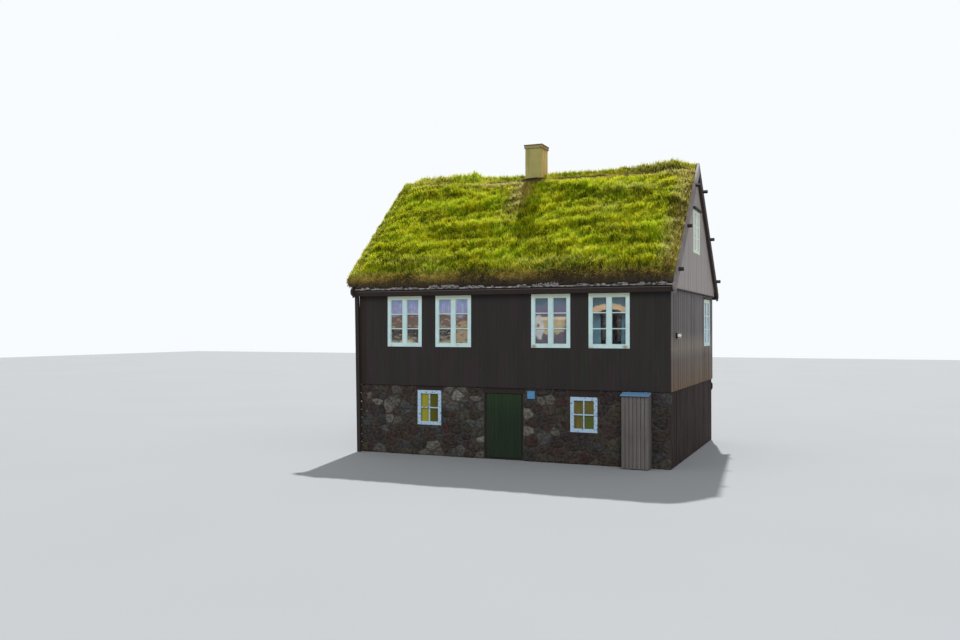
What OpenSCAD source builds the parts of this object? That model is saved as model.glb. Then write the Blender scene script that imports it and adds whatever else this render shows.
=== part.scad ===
/* [House] */
// Length of the house over its boarding
house_l = 9000; // [7500:50:11000]
// Depth of the house over its boarding
house_w = 6844; // [5800:50:8300]
// Height of the stone basement
stone_h = 1963; // [1900:10:2400]
// Height of the main storey, from the stone to the gable ledge
storey_h = 2647; // [2550:1:3300]
// Thickness of the boarded timber walls
wall_t = 150; // [120:5:200]
// Thickness of the stone walls
stone_t = 450; // [380:10:550]
// How far the boarding stands out past the stone
board_proud = 30; // [15:5:50]
// Thickness of the floors
floor_t = 150; // [120:5:180]
// Thickness of the basement floor
slab_t = 100; // [80:5:120]

/* [Roof] */
// Slope of the roof in degrees
pitch = 44; // [40:0.5:48]
// Height of the roof boards over the wall's face, above the gable ledge
plate_h = 285; // [260:5:400]
// Thickness of the roof boards
deck_t = 60; // [40:5:80]
// Overhang of the roof boards past the front wall
eave_out = 178; // [140:2:260]
// Overhang of the roof boards past the boarded gables
verge_out = 110; // [90:5:200]
// How far the upper gable stands out past the lower one
gable_proud = 60; // [30:5:80]
// Thickness of a bargeboard
barge_t = 60; // [40:5:70]
// Depth of a bargeboard, square to its edge
barge_d = 250; // [200:10:300]
// How far a bargeboard rises past the roof boards, square to the slope
barge_up = 108; // [80:4:140]
// Thickness of the bark between roof boards and turf
bark_t = 24; // [15:1:40]
// Height of an eave board
eave_board_h = 130; // [100:5:180]

/* [Turf] */
// Thickness of the turf near the ridge
turf_ridge_t = 50; // [50:5:120]
// Thickness of the turf near the eaves
turf_eave_t = 390; // [300:10:450]
// Length of the rounded brow of the turf at the eaves
brow_l = 620; // [400:20:800]
// Length over which the turf rounds down to the gables
verge_round = 520; // [300:20:800]
// Half width of the ridge turf
ridge_half = 330; // [280:10:420]
// Thickness of the ridge turf
ridge_t = 120; // [80:5:180]
// Width and depth of a turf batten
batten_w = 70; // [60:5:100]
// How far a batten's end stands out past the right bargeboard
batten_out = 130; // [80:10:180]
// Distance across from the ridge to the first batten
batten_top = 640; // [500:10:800]
// Distance across from the last batten to the eave edge of the roof boards
batten_low = 350; // [340:10:700]
// Place of the middle batten as a share of the way from the first to the last
batten_share = 0.51; // [0.4:0.01:0.6]

/* [Chimney] */
// Width of the chimney along the ridge
stack_l = 520; // [450:10:650]
// Depth of the chimney across the ridge
stack_w = 600; // [500:10:700]
// Height of the chimney above the roof boards' ridge
stack_h = 1020; // [700:10:1400]
// Thickness of the chimney's walls
flue_wall = 140; // [110:5:170]
// Thickness of the chimney cap
cap_t = 115; // [100:5:200]
// Overhang of the chimney cap
cap_out = 35; // [30:5:80]

/* [Windows] */
// Width of a main window over its casing
win_w = 1090; // [900:10:1200]
// Height of a main window over its casing
win_h = 1435; // [1200:5:1450]
// Height of the front window sills above the stone
win_sill = 1100; // [900:5:1110]
// Height of the gable window sills above the stone
gable_sill = 1077; // [900:1:1110]
// Distance from a gable window's middle to the rear corner
gable_win_in = 1167; // [900:1:1600]
// Height of a loft window over its casing
loft_win_h = 1240; // [1000:10:1300]
// Distance from the top of the roof boards at the ridge down to a loft window's head
loft_drop = 1230; // [1150:5:1400]
// Width of a window's casing
casing_w = 95; // [80:5:130]
// Width of the post between two casements
post_w = 125; // [100:5:180]
// How far a casing stands out past the boarding
casing_out = 28; // [15:1:40]
// Width of a basement window
low_win_w = 735; // [600:5:850]
// Height of the left basement window
low_win_h = 974; // [800:2:1010]
// Height of the left basement window's sill above the ground
low_win_z = 861; // [760:1:900]
// How much lower the right basement window's head is
low_win_step = 63; // [0:1:120]
// How far a basement window's frame stands out past the stone
low_win_out = 18; // [0:2:40]
// Width of a basement window's frame
low_frame_w = 95; // [60:5:110]

/* [Door] */
// Width of the basement door's leaf
door_w = 1036; // [900:2:1150]
// Height of the door opening under its lintel
door_h = 1810; // [1750:5:1900]
// Thickness of the door's leaf
leaf_t = 50; // [40:1:60]
// Width of a door frame's post
jamb_w = 44; // [36:2:60]
// Gap round the door's leaf
door_gap = 8; // [6:0.5:12]

/* [Bin store] */
// Distance from the bin store to the right corner of the boarding
bin_in = 510; // [250:5:600]
// Width of the bin store
bin_w = 690; // [600:5:900]
// Depth of the bin store
bin_d = 350; // [320:5:600]
// How far the top of the bin store lies under the boarding, at its back
bin_drop = 48; // [40:1:300]
// Fall of the bin store's top from back to front
bin_fall = 60; // [40:5:200]
// Thickness of the bin store's lid
lid_t = 24; // [18:1:30]

/* [Hidden] */
slope = tan(pitch);
half_l = house_l / 2;
half_w = house_w / 2;
ledge_z = stone_h + storey_h;
deck_ridge_z = ledge_z + plate_h + slope * half_w;
stack_top = deck_ridge_z + stack_h;
win_z = stone_h + win_sill;
gable_win_z = stone_h + gable_sill;
loft_win_z = deck_ridge_z - loft_drop - loft_win_h;
bin_back_h = stone_h - bin_drop;
bin_front_h = bin_back_h - bin_fall;
bin_x = half_l - bin_in - bin_w;
deck_v = deck_t / cos(pitch);
deck_half_w = half_w + eave_out;
deck_half_l = half_l + verge_out;
upper_face_x = half_l + gable_proud;
stone_half_l = half_l - board_proud;
stone_half_w = half_w - board_proud;
room_half_l = stone_half_l - stone_t;
room_half_w = stone_half_w - stone_t;
inner_half_l = half_l - wall_t;
inner_half_w = half_w - wall_t;
barge_apex_z = deck_ridge_z + barge_up / cos(pitch);
seat = 0.3;
barge_foot = deck_half_w + 60;
nose_in = 6;
bark_in = deck_half_w - 180;
stack_x = -280;
stack_y = -30;
stack_gap = 6;
cap_lip = 8;
plate_t = 28;
windows_x = [-3074, -1549, 1309, 2902];
low_windows = [[-2304, low_win_z, low_win_h], [2211, low_win_z - 17, low_win_h - low_win_step + 17]];
low_frame_d = 78;
low_glass_in = 48;
gable_win_y = half_w - gable_win_in;
lap = 30;
frame_d = 95;
glass_t = 6;
glass_in = 14;
bearing = 60;
lintel_top = stone_h;
door_x = -576;
leaf_low = 50;
sill_h = 40;
jamb_d = 90;
jamb_y = -stone_half_w + 40;
leaf_y = jamb_y;
pin_r = 6;
knuckle_r = 12;
bore_r = 6.4;
hinge_h = 44;
hinges_z = [330, 1420];
hinge_y = leaf_y - 14;
strap_t = 6;
strap_l = 150;
vent_w = 210;
vent_h = 204;
vent_t = 18;
vent_in = 124;
vent_drop = 277;
corner_w = 160;
corner_t = 25;
corner_out = 55;
pole_w = 110;
pole_d = 80;
pole_lean = 95;
ledge_out = 85;
drip_h = 45;
loft_drip_h = 60;
lamp_r = 80;
globe_r = 73;
batten_last = deck_half_w - batten_low;
battens_u = [batten_top, batten_top + batten_share * (batten_last - batten_top), batten_last];
lamp_y = -half_w + 652;
lamp_z = stone_h + 1427;
bin_post = 45;
slat_t = 20;
slat_gap = 12;
slats = 7;
latch_r = 21;
latch_t = 14;
latch_z = 1725;
lid_over = 20;
lid_clear = 18;
lid_pin_r = 4;
lid_knuckle_r = 10;
rings = 47;

// Height of the roof boards' top and underside, u across from the ridge
function deck_top(u) = deck_ridge_z - slope * u;
function deck_under(u) = deck_top(u) - deck_v;
function deck_seat(u) = deck_under(u) - seat;
function barge_top(u) = barge_apex_z - slope * u;
function barge_under(u) = barge_top(u) - barge_d / cos(pitch);

// A profile of [y, z] points carried along X from x0 to x1
module along_x(x0, x1, points) {
    translate([x0, 0, 0]) rotate([90, 0, 90]) linear_extrude(x1 - x0) polygon(points);
}

// A box from its low corner to its high corner
module block(low, high) {
    translate(low) cube(high - low);
}

// The same shape in front and behind, or at both ends
module front_and_back() {
    children();
    mirror([0, 1, 0]) children();
}
module both_ends() {
    children();
    mirror([1, 0, 0]) children();
}

// The chimney's shaft, with room round it where it passes floors and roof
module stack_space(gap) {
    block([stack_x - stack_l / 2 - gap, stack_y - stack_w / 2 - gap, 0],
          [stack_x + stack_l / 2 + gap, stack_y + stack_w / 2 + gap, stack_top]);
}

// A casing, frame and centre post, with the wall's outer face at y = 0
module window_frame(w, h) {
    pane_w = (w - 2 * casing_w - post_w) / 2;
    pane_h = h - 2 * casing_w;
    difference() {
        union() {
            block([-w / 2, -casing_out, 0], [w / 2, 0, h]);
            block([-w / 2 + lap, 0, lap], [w / 2 - lap, frame_d, h - lap]);
        }
        for (side = [-1, 1])
            translate([side * (pane_w + post_w) / 2, 0, casing_w])
                block([-pane_w / 2, -casing_out - 1, 0], [pane_w / 2, frame_d + 1, pane_h]);
    }
}
module window_panes(w, h) {
    pane_w = (w - 2 * casing_w - post_w) / 2;
    pane_h = h - 2 * casing_w;
    for (side = [-1, 1])
        translate([side * (pane_w + post_w) / 2, glass_in, casing_w])
            block([-pane_w / 2, 0, 0], [pane_w / 2, glass_t, pane_h]);
}
module window_hole(w, h) {
    block([-w / 2 + lap, -1, lap], [w / 2 - lap, wall_t + gable_proud + 1, h - lap]);
}

// Places for windows in each wall, each turned to face out
module at_front_windows() {
    for (x = windows_x) translate([x, -half_w, win_z]) children();
}
module at_gable_window() {
    translate([half_l, gable_win_y, gable_win_z]) rotate([0, 0, 90]) children();
}
module at_loft_window() {
    translate([upper_face_x, 0, loft_win_z]) rotate([0, 0, 90]) children();
}

// The hole of a basement window, given as [middle, sill, height], and the seat of its lintel
module low_window_cut(w) {
    block([w[0] - low_win_w / 2, -stone_half_w - 1, w[1]],
          [w[0] + low_win_w / 2, -room_half_w + 1, w[1] + w[2]]);
    block([w[0] - low_win_w / 2 - bearing, -stone_half_w - 1, w[1] + w[2]],
          [w[0] + low_win_w / 2 + bearing, -room_half_w + 1, lintel_top + 1]);
}
module door_lintel_seat() {
    block([door_x - jamb_w - door_gap - bearing, -stone_half_w - 1, door_h],
          [door_x + door_w + door_gap + jamb_w + bearing, -room_half_w + 1, lintel_top + 1]);
}

// The stone basement
module basement_floor() {
    color("gray") union() {
        block([-room_half_l, -room_half_w, 0], [room_half_l, room_half_w, slab_t]);
        block([door_x - jamb_w - door_gap, jamb_y + jamb_d, 0],
              [door_x + door_w + door_gap + jamb_w, -room_half_w, slab_t]);
    }
}
module basement_front_left_wall() {
    color("dimgray") difference() {
        block([-stone_half_l, -stone_half_w, 0],
              [door_x - jamb_w - door_gap, -room_half_w, stone_h]);
        low_window_cut(low_windows[0]);
        door_lintel_seat();
    }
}
module basement_front_right_wall() {
    color("dimgray") difference() {
        block([door_x + door_w + door_gap + jamb_w, -stone_half_w, 0],
              [stone_half_l, -room_half_w, stone_h]);
        low_window_cut(low_windows[1]);
        door_lintel_seat();
    }
}
module basement_rear_wall() {
    color("dimgray") block([-stone_half_l, room_half_w, 0], [stone_half_l, stone_half_w, stone_h]);
}
module basement_right_wall() {
    color("dimgray") block([room_half_l, -room_half_w, 0], [stone_half_l, room_half_w, stone_h]);
}
module basement_left_wall() {
    mirror([1, 0, 0]) basement_right_wall();
}
module basement_lintels() {
    color("saddlebrown") {
        for (w = low_windows)
            block([w[0] - low_win_w / 2 - bearing, -stone_half_w, w[1] + w[2]],
                  [w[0] + low_win_w / 2 + bearing, -room_half_w, lintel_top]);
        block([door_x - jamb_w - door_gap - bearing, -stone_half_w, door_h],
              [door_x + door_w + door_gap + jamb_w + bearing, -room_half_w, lintel_top]);
    }
}
module vent_cover() {
    color("lightsteelblue")
        translate([door_x + door_w + door_gap + jamb_w + vent_in, -stone_half_w - vent_t, lintel_top - vent_drop])
            cube([vent_w, vent_t, vent_h]);
}

// The basement door, hung on two pintles
module door_frame() {
    left = door_x - door_gap;
    right = door_x + door_w + door_gap;
    color("darkslategray") union() {
        block([left - jamb_w, jamb_y, 0], [left, jamb_y + jamb_d, door_h]);
        block([right, jamb_y, 0], [right + jamb_w, jamb_y + jamb_d, door_h]);
        block([left, jamb_y, 0], [right, jamb_y + jamb_d, sill_h]);
        for (z = hinges_z) {
            block([left - jamb_w, jamb_y - strap_t, z - hinge_h],
                  [door_x, jamb_y, z - 1]);
            translate([door_x, hinge_y, z - hinge_h]) cylinder(h = hinge_h - 1, r = knuckle_r, $fn = 48);
            translate([door_x, hinge_y, z - 10]) cylinder(h = hinge_h + 16, r = pin_r, $fn = 48);
        }
    }
}
module basement_door() {
    color("darkgreen") difference() {
        union() {
            block([door_x, leaf_y, leaf_low], [door_x + door_w, leaf_y + leaf_t, door_h - door_gap]);
            for (z = hinges_z) {
                block([door_x, leaf_y - strap_t, z], [door_x + strap_l, leaf_y, z + hinge_h]);
                translate([door_x, hinge_y, z]) cylinder(h = hinge_h, r = knuckle_r, $fn = 48);
            }
        }
        for (z = hinges_z)
            translate([door_x, hinge_y, z - 1]) cylinder(h = hinge_h + 2, r = bore_r, $fn = 48);
    }
}

// Basement windows, four panes each
low_pane_w = (low_win_w - 2 * low_frame_w - 30) / 2;
function low_pane_h(w) = (w[2] - 2 * low_frame_w - 30) / 2;
module low_panes(w, inner, outer) {
    for (side = [-1, 1], row = [0, 1])
        translate([w[0] + side * (low_pane_w + 30) / 2, -stone_half_w - low_win_out,
                   w[1] + low_frame_w + row * (low_pane_h(w) + 30)])
            block([-low_pane_w / 2, inner, 0], [low_pane_w / 2, outer, low_pane_h(w)]);
}
module basement_windows() {
    color("azure") for (w = low_windows) difference() {
        block([w[0] - low_win_w / 2, -stone_half_w - low_win_out, w[1]],
              [w[0] + low_win_w / 2, -stone_half_w - low_win_out + low_frame_d, w[1] + w[2]]);
        low_panes(w, -1, low_frame_d + 1);
    }
}
module basement_glass() {
    color("khaki") for (w = low_windows) low_panes(w, low_glass_in, low_glass_in + glass_t);
}

// The boarded timber storey
module main_floor() {
    color("tan") difference() {
        block([-inner_half_l, -inner_half_w, stone_h], [inner_half_l, inner_half_w, stone_h + floor_t]);
        stack_space(stack_gap);
    }
}
module front_wall() {
    color([0.16, 0.13, 0.12]) difference() {
        along_x(-inner_half_l, inner_half_l, [
            [-half_w, stone_h], [-inner_half_w, stone_h],
            [-inner_half_w, deck_seat(inner_half_w)], [-half_w, deck_seat(half_w)]]);
        at_front_windows() window_hole(win_w, win_h);
    }
}
module rear_wall() {
    mirror([0, 1, 0]) front_wall();
}
module right_wall() {
    color([0.36, 0.33, 0.32]) difference() {
        block([inner_half_l, -half_w, stone_h], [half_l, half_w, ledge_z]);
        at_gable_window() window_hole(win_w, win_h);
    }
}
module left_wall() {
    mirror([1, 0, 0]) right_wall();
}
module corner_boards() {
    color([0.3, 0.17, 0.13]) front_and_back() difference() {
        block([-half_l - corner_out, -half_w - corner_t, stone_h],
              [-half_l + corner_w, -half_w + corner_w, ledge_z - 30]);
        block([-half_l, -half_w, 0], [0, half_w, ledge_z]);
    }
}
module corner_post() {
    x0 = -deck_half_l - barge_t;
    y0 = -half_w - 120;
    y1 = y0 + pole_d;
    color([0.16, 0.13, 0.12]) intersection() {
        along_x(x0 - 1, x0 + pole_w + pole_lean + 1,
                [[y0, 0], [y1, 0], [y1, barge_under(-y1) - seat], [y0, barge_under(-y0) - seat]]);
        translate([0, y1 + 1, 0]) rotate([90, 0, 0]) linear_extrude(pole_d + 2)
            polygon([[x0 + pole_lean, -1], [x0 + pole_lean + pole_w, -1],
                     [x0 + pole_w, ledge_z + plate_h], [x0, ledge_z + plate_h]]);
    }
}
module front_windows() {
    color("azure") at_front_windows() window_frame(win_w, win_h);
}
module rear_windows() {
    mirror([0, 1, 0]) front_windows();
}
module gable_windows() {
    color("azure") both_ends() at_gable_window() window_frame(win_w, win_h);
}
module loft_windows() {
    color("azure") both_ends() at_loft_window() window_frame(win_w, loft_win_h);
}
module main_glass() {
    color("lightblue") {
        front_and_back() at_front_windows() window_panes(win_w, win_h);
        both_ends() at_gable_window() window_panes(win_w, win_h);
    }
}
module loft_glass() {
    color("lightblue") both_ends() at_loft_window() window_panes(win_w, loft_win_h);
}
module loft_floor() {
    color("tan") difference() {
        block([-inner_half_l, -inner_half_w, ledge_z - floor_t], [inner_half_l, inner_half_w, ledge_z]);
        stack_space(stack_gap);
    }
}

// The gables
module right_gable() {
    color([0.42, 0.39, 0.38]) difference() {
        along_x(inner_half_l, upper_face_x, [
            [-half_w, ledge_z], [half_w, ledge_z], [half_w, deck_seat(half_w)],
            [0, deck_seat(0)], [-half_w, deck_seat(half_w)]]);
        at_loft_window() window_hole(win_w, loft_win_h);
    }
}
module left_gable() {
    mirror([1, 0, 0]) right_gable();
}
module gable_ledges() {
    color([0.12, 0.1, 0.09]) both_ends()
        block([half_l, -half_w - corner_t, ledge_z - 30], [half_l + ledge_out, half_w + corner_t, ledge_z]);
}
module window_drips() {
    color([0.12, 0.1, 0.09]) both_ends() {
        at_gable_window() block([-win_w / 2 - 50, -70, win_h], [win_w / 2 + 50, 0, win_h + drip_h]);
        at_loft_window()
            block([-win_w / 2 - 50, -90, loft_win_h], [win_w / 2 + 50, 0, loft_win_h + loft_drip_h]);
    }
}

// The roof boards and what edges them
module front_roof_deck() {
    color("peru") difference() {
        along_x(-deck_half_l, deck_half_l, [
            [0, deck_under(0)], [0, deck_top(0)],
            [-deck_half_w, deck_top(deck_half_w)], [-deck_half_w, deck_under(deck_half_w)]]);
        stack_space(stack_gap);
    }
}
module rear_roof_deck() {
    color("peru") difference() {
        along_x(-deck_half_l, deck_half_l, [
            [0, deck_under(0)], [0, deck_top(0)],
            [deck_half_w, deck_top(deck_half_w)], [deck_half_w, deck_under(deck_half_w)]]);
        stack_space(stack_gap);
    }
}
module eave_boards() {
    out = deck_half_w;
    in = deck_half_w - 35;
    low = deck_under(out) - eave_board_h;
    color([0.2, 0.15, 0.13]) front_and_back()
        along_x(-deck_half_l, deck_half_l, [
            [-out, low], [-in, low], [-in, deck_seat(in)], [-out, deck_seat(out)]]);
}
module eave_bark() {
    in = bark_in;
    out = deck_half_w + 45;
    rise = bark_t / cos(pitch);
    color("gainsboro") front_and_back()
        along_x(-deck_half_l + 10, deck_half_l - 10, [
            [-in, deck_top(in) + seat], [-in, deck_top(in) + rise],
            [-out, deck_top(out) + rise], [-out, deck_top(out) + seat]]);
}
module right_bargeboards() {
    mid = (barge_top(barge_foot) + barge_under(barge_foot)) / 2;
    color([0.4, 0.37, 0.35]) difference() {
        union() {
            along_x(deck_half_l, deck_half_l + barge_t, [
                [0, barge_top(0)], [barge_foot, barge_top(barge_foot)],
                [barge_foot, barge_under(barge_foot)], [0, barge_under(0)],
                [-barge_foot, barge_under(barge_foot)], [-barge_foot, barge_top(barge_foot)]]);
            for (side = [-1, 1]) translate([deck_half_l, side * barge_foot, mid])
                rotate([0, 90, 0]) cylinder(h = barge_t, r = barge_d / 2 - nose_in, $fn = 64);
        }
        batten_bars(seat);
    }
}
module left_bargeboards() {
    mirror([1, 0, 0]) right_bargeboards();
}

// Square battens that hold the turf, lying on the roof boards, flush at the left end
module batten_bars(grow) {
    reach = deck_half_l + barge_t;
    for (side = [-1, 1], u = battens_u)
        translate([0, side * u, deck_top(u)]) rotate([-side * pitch, 0, 0])
            translate([-reach - grow, -batten_w / 2 - grow, seat - grow])
                cube([2 * reach + batten_out + grow, batten_w + 2 * grow, batten_w + 2 * grow]);
}
module turf_battens() {
    color([0.08, 0.07, 0.06]) batten_bars(0);
}

// Turf: thickness square to the slope at s along it from the ridge, x along the house
slope_l = deck_half_w / cos(pitch) + 40;
function swell(x, s) =
    16 * sin(x * 0.11 + s * 0.05) + 12 * sin(x * 0.23 - s * 0.17 + 40) + 9 * sin(x * 0.041 + s * 0.31);
function verge_share(x) =
    let (d = deck_half_l - abs(x), q = max(0, 1 - d / verge_round))
    sqrt(max(0, 1 - q * q));
function brow_share(s) =
    let (q = max(0, (s - (slope_l - brow_l)) / brow_l))
    pow(max(0, 1 - pow(q, 3)), 1 / 3);
function turf_full(s) = turf_ridge_t + (turf_eave_t - turf_ridge_t) * pow(s / slope_l, 0.35);

// Mounds where sods were piled: middle as a share of half the length, then middle down
// the slope, half length, half width and height
mounds = [
    [-0.73, 430, 1000, 420, 75], [stack_x / half_l, 330, 420, 420, 50], [0.35, 900, 1050, 330, 45],
    [0.7, 1350, 520, 300, 45], [0.93, 1750, 380, 300, 45], [-0.4, 1560, 900, 300, 45],
    [-0.3, 2750, 1200, 320, 45], [-0.62, 3700, 800, 330, 40], [0.45, 2500, 700, 300, 40],
    [0.6, 3500, 900, 330, 45]];
function mound(x, s, m) =
    m[4] * exp(-pow((x - m[0] * half_l) / m[2], 2) - pow((s - m[1]) / m[3], 2));
function mounds_t(x, s, i = 0) = i == len(mounds) ? 0 : mound(x, s, mounds[i]) + mounds_t(x, s, i + 1);
function turf_t(x, s) =
    let (base = min(turf_full(s), barge_up) * 0.98,
         ease = min(1, max(0, s - 2 * ridge_half) / 500))
    (base + (turf_full(s) - base + mounds_t(x, s) + swell(x, s) * ease) * verge_share(x)) * brow_share(s);

// Places along the slope where the turf's surface is drawn, closer at the brow
surface_low = 1.3 * ridge_half;
surface_s = [for (i = [0:12]) surface_low + i * (slope_l - brow_l - surface_low) / 12];
brow_s = [for (i = [1:7]) slope_l - brow_l + brow_l * sin(90 * i / 8)];
function across(s, t) = s * cos(pitch) + t * sin(pitch);
function height(s, t) = deck_ridge_z - s * sin(pitch) + t * cos(pitch);
function turf_point(x, s) = let (t = turf_t(x, s)) [across(s, t), height(s, t)];

// Underside of the turf: along the boards, over the battens and up over the bark
function notch(u) =
    let (s = u / cos(pitch), h = batten_w / 2 + seat, top = batten_w + 2 * seat)
    [for (p = [[s + h, seat], [s + h, top], [s - h, top], [s - h, seat]])
        [across(p[0], p[1]), height(p[0], p[1])]];
turf_under = concat(
    [[across(slope_l, bark_t + seat), height(slope_l, bark_t + seat)],
     [bark_in - seat, deck_top(bark_in - seat) + (bark_t + seat) / cos(pitch)],
     [bark_in - seat, deck_top(bark_in - seat) + seat]],
    notch(battens_u[2]), notch(battens_u[1]), notch(battens_u[0]),
    [[0, deck_top(0) + seat]]);
turf_top_v = turf_ridge_t / cos(pitch);
lip_u = ridge_half + 16;
function turf_profile(x) = concat(
    turf_under,
    [[0, deck_top(0) + turf_top_v], [ridge_half + 3, deck_top(ridge_half + 3) + turf_top_v],
     [lip_u, deck_top(lip_u) + turf_t(x, ridge_half / cos(pitch)) / cos(pitch)]],
    [for (s = surface_s) turf_point(x, s)],
    [for (s = brow_s) turf_point(x, s)]);
function ring_x(i) =
    let (f = i / (rings - 1), g = (1 - cos(180 * f)) / 2)
    deck_half_l * (2 * (0.45 * g + 0.55 * f) - 1);

// A skin through rings of points, closed at both ends
module loft_rings(profiles, places) {
    n = len(profiles[0]);
    m = len(profiles);
    points = [for (i = [0:m - 1]) for (p = profiles[i]) [places[i], -p[0], p[1]]];
    sides = [for (i = [0:m - 2]) for (j = [0:n - 1])
        let (a = i * n + j, b = i * n + (j + 1) % n, c = a + n, d = b + n)
        each [[a, b, c], [b, d, c]]];
    first = [for (j = [n - 1:-1:0]) j];
    last = [for (j = [0:n - 1]) (m - 1) * n + j];
    polyhedron(points, concat(sides, [first], [last]), convexity = 8);
}
module turf_half() {
    places = [for (i = [0:rings - 1]) ring_x(i)];
    difference() {
        loft_rings([for (x = places) turf_profile(x)], places);
        stack_space(stack_gap);
    }
}
module front_turf() {
    color("yellowgreen") turf_half();
}
module rear_turf() {
    color("yellowgreen") mirror([0, 1, 0]) turf_half();
}

// Ridge turf in two lengths, one each side of the chimney: its thickness as a share of
// ridge_t, at places given as shares of half the length
ridge_humps = [
    [-1.03, 0.3], [-0.98, 0.8], [-0.94, 1.35], [-0.8, 1.5], [-0.62, 1.6], [-0.51, 1.85], [-0.45, 0.8],
    [-0.2, 0.4], [0.02, 0.3], [0.09, 0.5], [0.4, 0.42], [0.65, 0.85], [0.87, 1.6], [0.94, 1.1],
    [0.985, 0.35], [1.03, 0.3]];
function ridge_thick(x) = ridge_t * lookup(x / half_l, ridge_humps);
function ridge_profile(x) =
    let (low = turf_top_v + seat, thick = max(35, ridge_thick(x)))
    concat(
        [[ridge_half, deck_top(ridge_half) + low], [0, deck_top(0) + low],
         [-ridge_half, deck_top(ridge_half) + low]],
        [for (i = [0:10]) let (a = 171 - 16.2 * i, y = (ridge_half - 8) * cos(a))
            [y, deck_top(abs(y)) + low + thick * pow(sin(a), 0.35)]]);
module ridge_length(x0, x1, count) {
    places = [for (i = [0:count]) x0 + (x1 - x0) * i / count];
    loft_rings([for (x = places) ridge_profile(x)], places);
}
module ridge_turf() {
    color("olivedrab") {
        ridge_length(-deck_half_l, stack_x - stack_l / 2 - stack_gap, 22);
        ridge_length(stack_x + stack_l / 2 + stack_gap, deck_half_l, 24);
    }
}

// The chimney, with an open flue from the basement to the top, and a plate on its cap
module flue_space() {
    block([stack_x - stack_l / 2 + flue_wall, stack_y - stack_w / 2 + flue_wall, 0],
          [stack_x + stack_l / 2 - flue_wall, stack_y + stack_w / 2 - flue_wall, stack_top + 1]);
}
module chimney_stack() {
    color([0.65, 0.58, 0.35]) difference() {
        block([stack_x - stack_l / 2, stack_y - stack_w / 2, slab_t],
              [stack_x + stack_l / 2, stack_y + stack_w / 2, stack_top - cap_t]);
        flue_space();
    }
}
module chimney_cap() {
    lip = cap_out - cap_lip;
    color([0.5, 0.48, 0.42]) difference() {
        union() {
            block([stack_x - stack_l / 2 - cap_out, stack_y - stack_w / 2 - cap_out, stack_top - plate_t],
                  [stack_x + stack_l / 2 + cap_out, stack_y + stack_w / 2 + cap_out, stack_top]);
            block([stack_x - stack_l / 2 - lip, stack_y - stack_w / 2 - lip, stack_top - cap_t],
                  [stack_x + stack_l / 2 + lip, stack_y + stack_w / 2 + lip, stack_top - plate_t]);
        }
        flue_space();
    }
}

// A round lamp on the gable
module gable_lamp() {
    color("white") translate([half_l, lamp_y, lamp_z]) rotate([0, 90, 0]) union() {
        cylinder(h = 45, r = lamp_r, $fn = 64);
        intersection() {
            translate([0, 0, 45 + globe_r / 2]) sphere(r = globe_r, $fn = 64);
            translate([0, 0, 44]) cylinder(h = 2 * globe_r, r = globe_r, $fn = 64);
        }
    }
}

// The bin store: four posts, rails, slatted sides and front
module slat_row(width, count, height) {
    pitch_w = (width + slat_gap) / count;
    for (i = [0:count - 1]) translate([i * pitch_w, 0, 0]) cube([pitch_w - slat_gap, slat_t, height]);
}
module bin_store() {
    y0 = -stone_half_w - bin_d;
    y1 = -stone_half_w;
    in = slat_t;
    color([0.5, 0.48, 0.46]) union() {
        intersection() {
            union() {
                for (x = [bin_x + in, bin_x + bin_w - in - bin_post], y = [y0 + in, y1 - bin_post])
                    block([x, y, 0], [x + bin_post, y + bin_post, bin_back_h]);
                for (z = [120, 900, 1690]) {
                    block([bin_x + in, y0 + in, z], [bin_x + bin_w - in, y0 + in + bin_post, z + 70]);
                    for (x = [bin_x + in, bin_x + bin_w - in - bin_post])
                        block([x, y0 + in, z], [x + bin_post, y1, z + 70]);
                }
                translate([bin_x, y0, 20]) slat_row(bin_w, slats, bin_back_h);
                for (x = [bin_x, bin_x + bin_w - slat_t])
                    translate([x + slat_t, y0 + slat_t, 20]) rotate([0, 0, 90])
                        slat_row(bin_d - slat_t, 4, bin_back_h);
                block([bin_x + in, y1 - bin_post, 1790], [bin_x + bin_w - in, y1, bin_back_h]);
            }
            along_x(bin_x - 1, bin_x + bin_w + 1, [
                [y0 - 1, 0], [y1, 0], [y1, bin_back_h], [y0 - 1, bin_front_h]]);
        }
        for (x = lid_hinges_x) lid_bracket(x);
        translate([bin_x + bin_w / 2, y0, latch_z]) rotate([90, 0, 0])
            translate([0, 0, -slat_t]) cylinder(h = slat_t + latch_t, r = latch_r, $fn = 32);
    }
}

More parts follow.
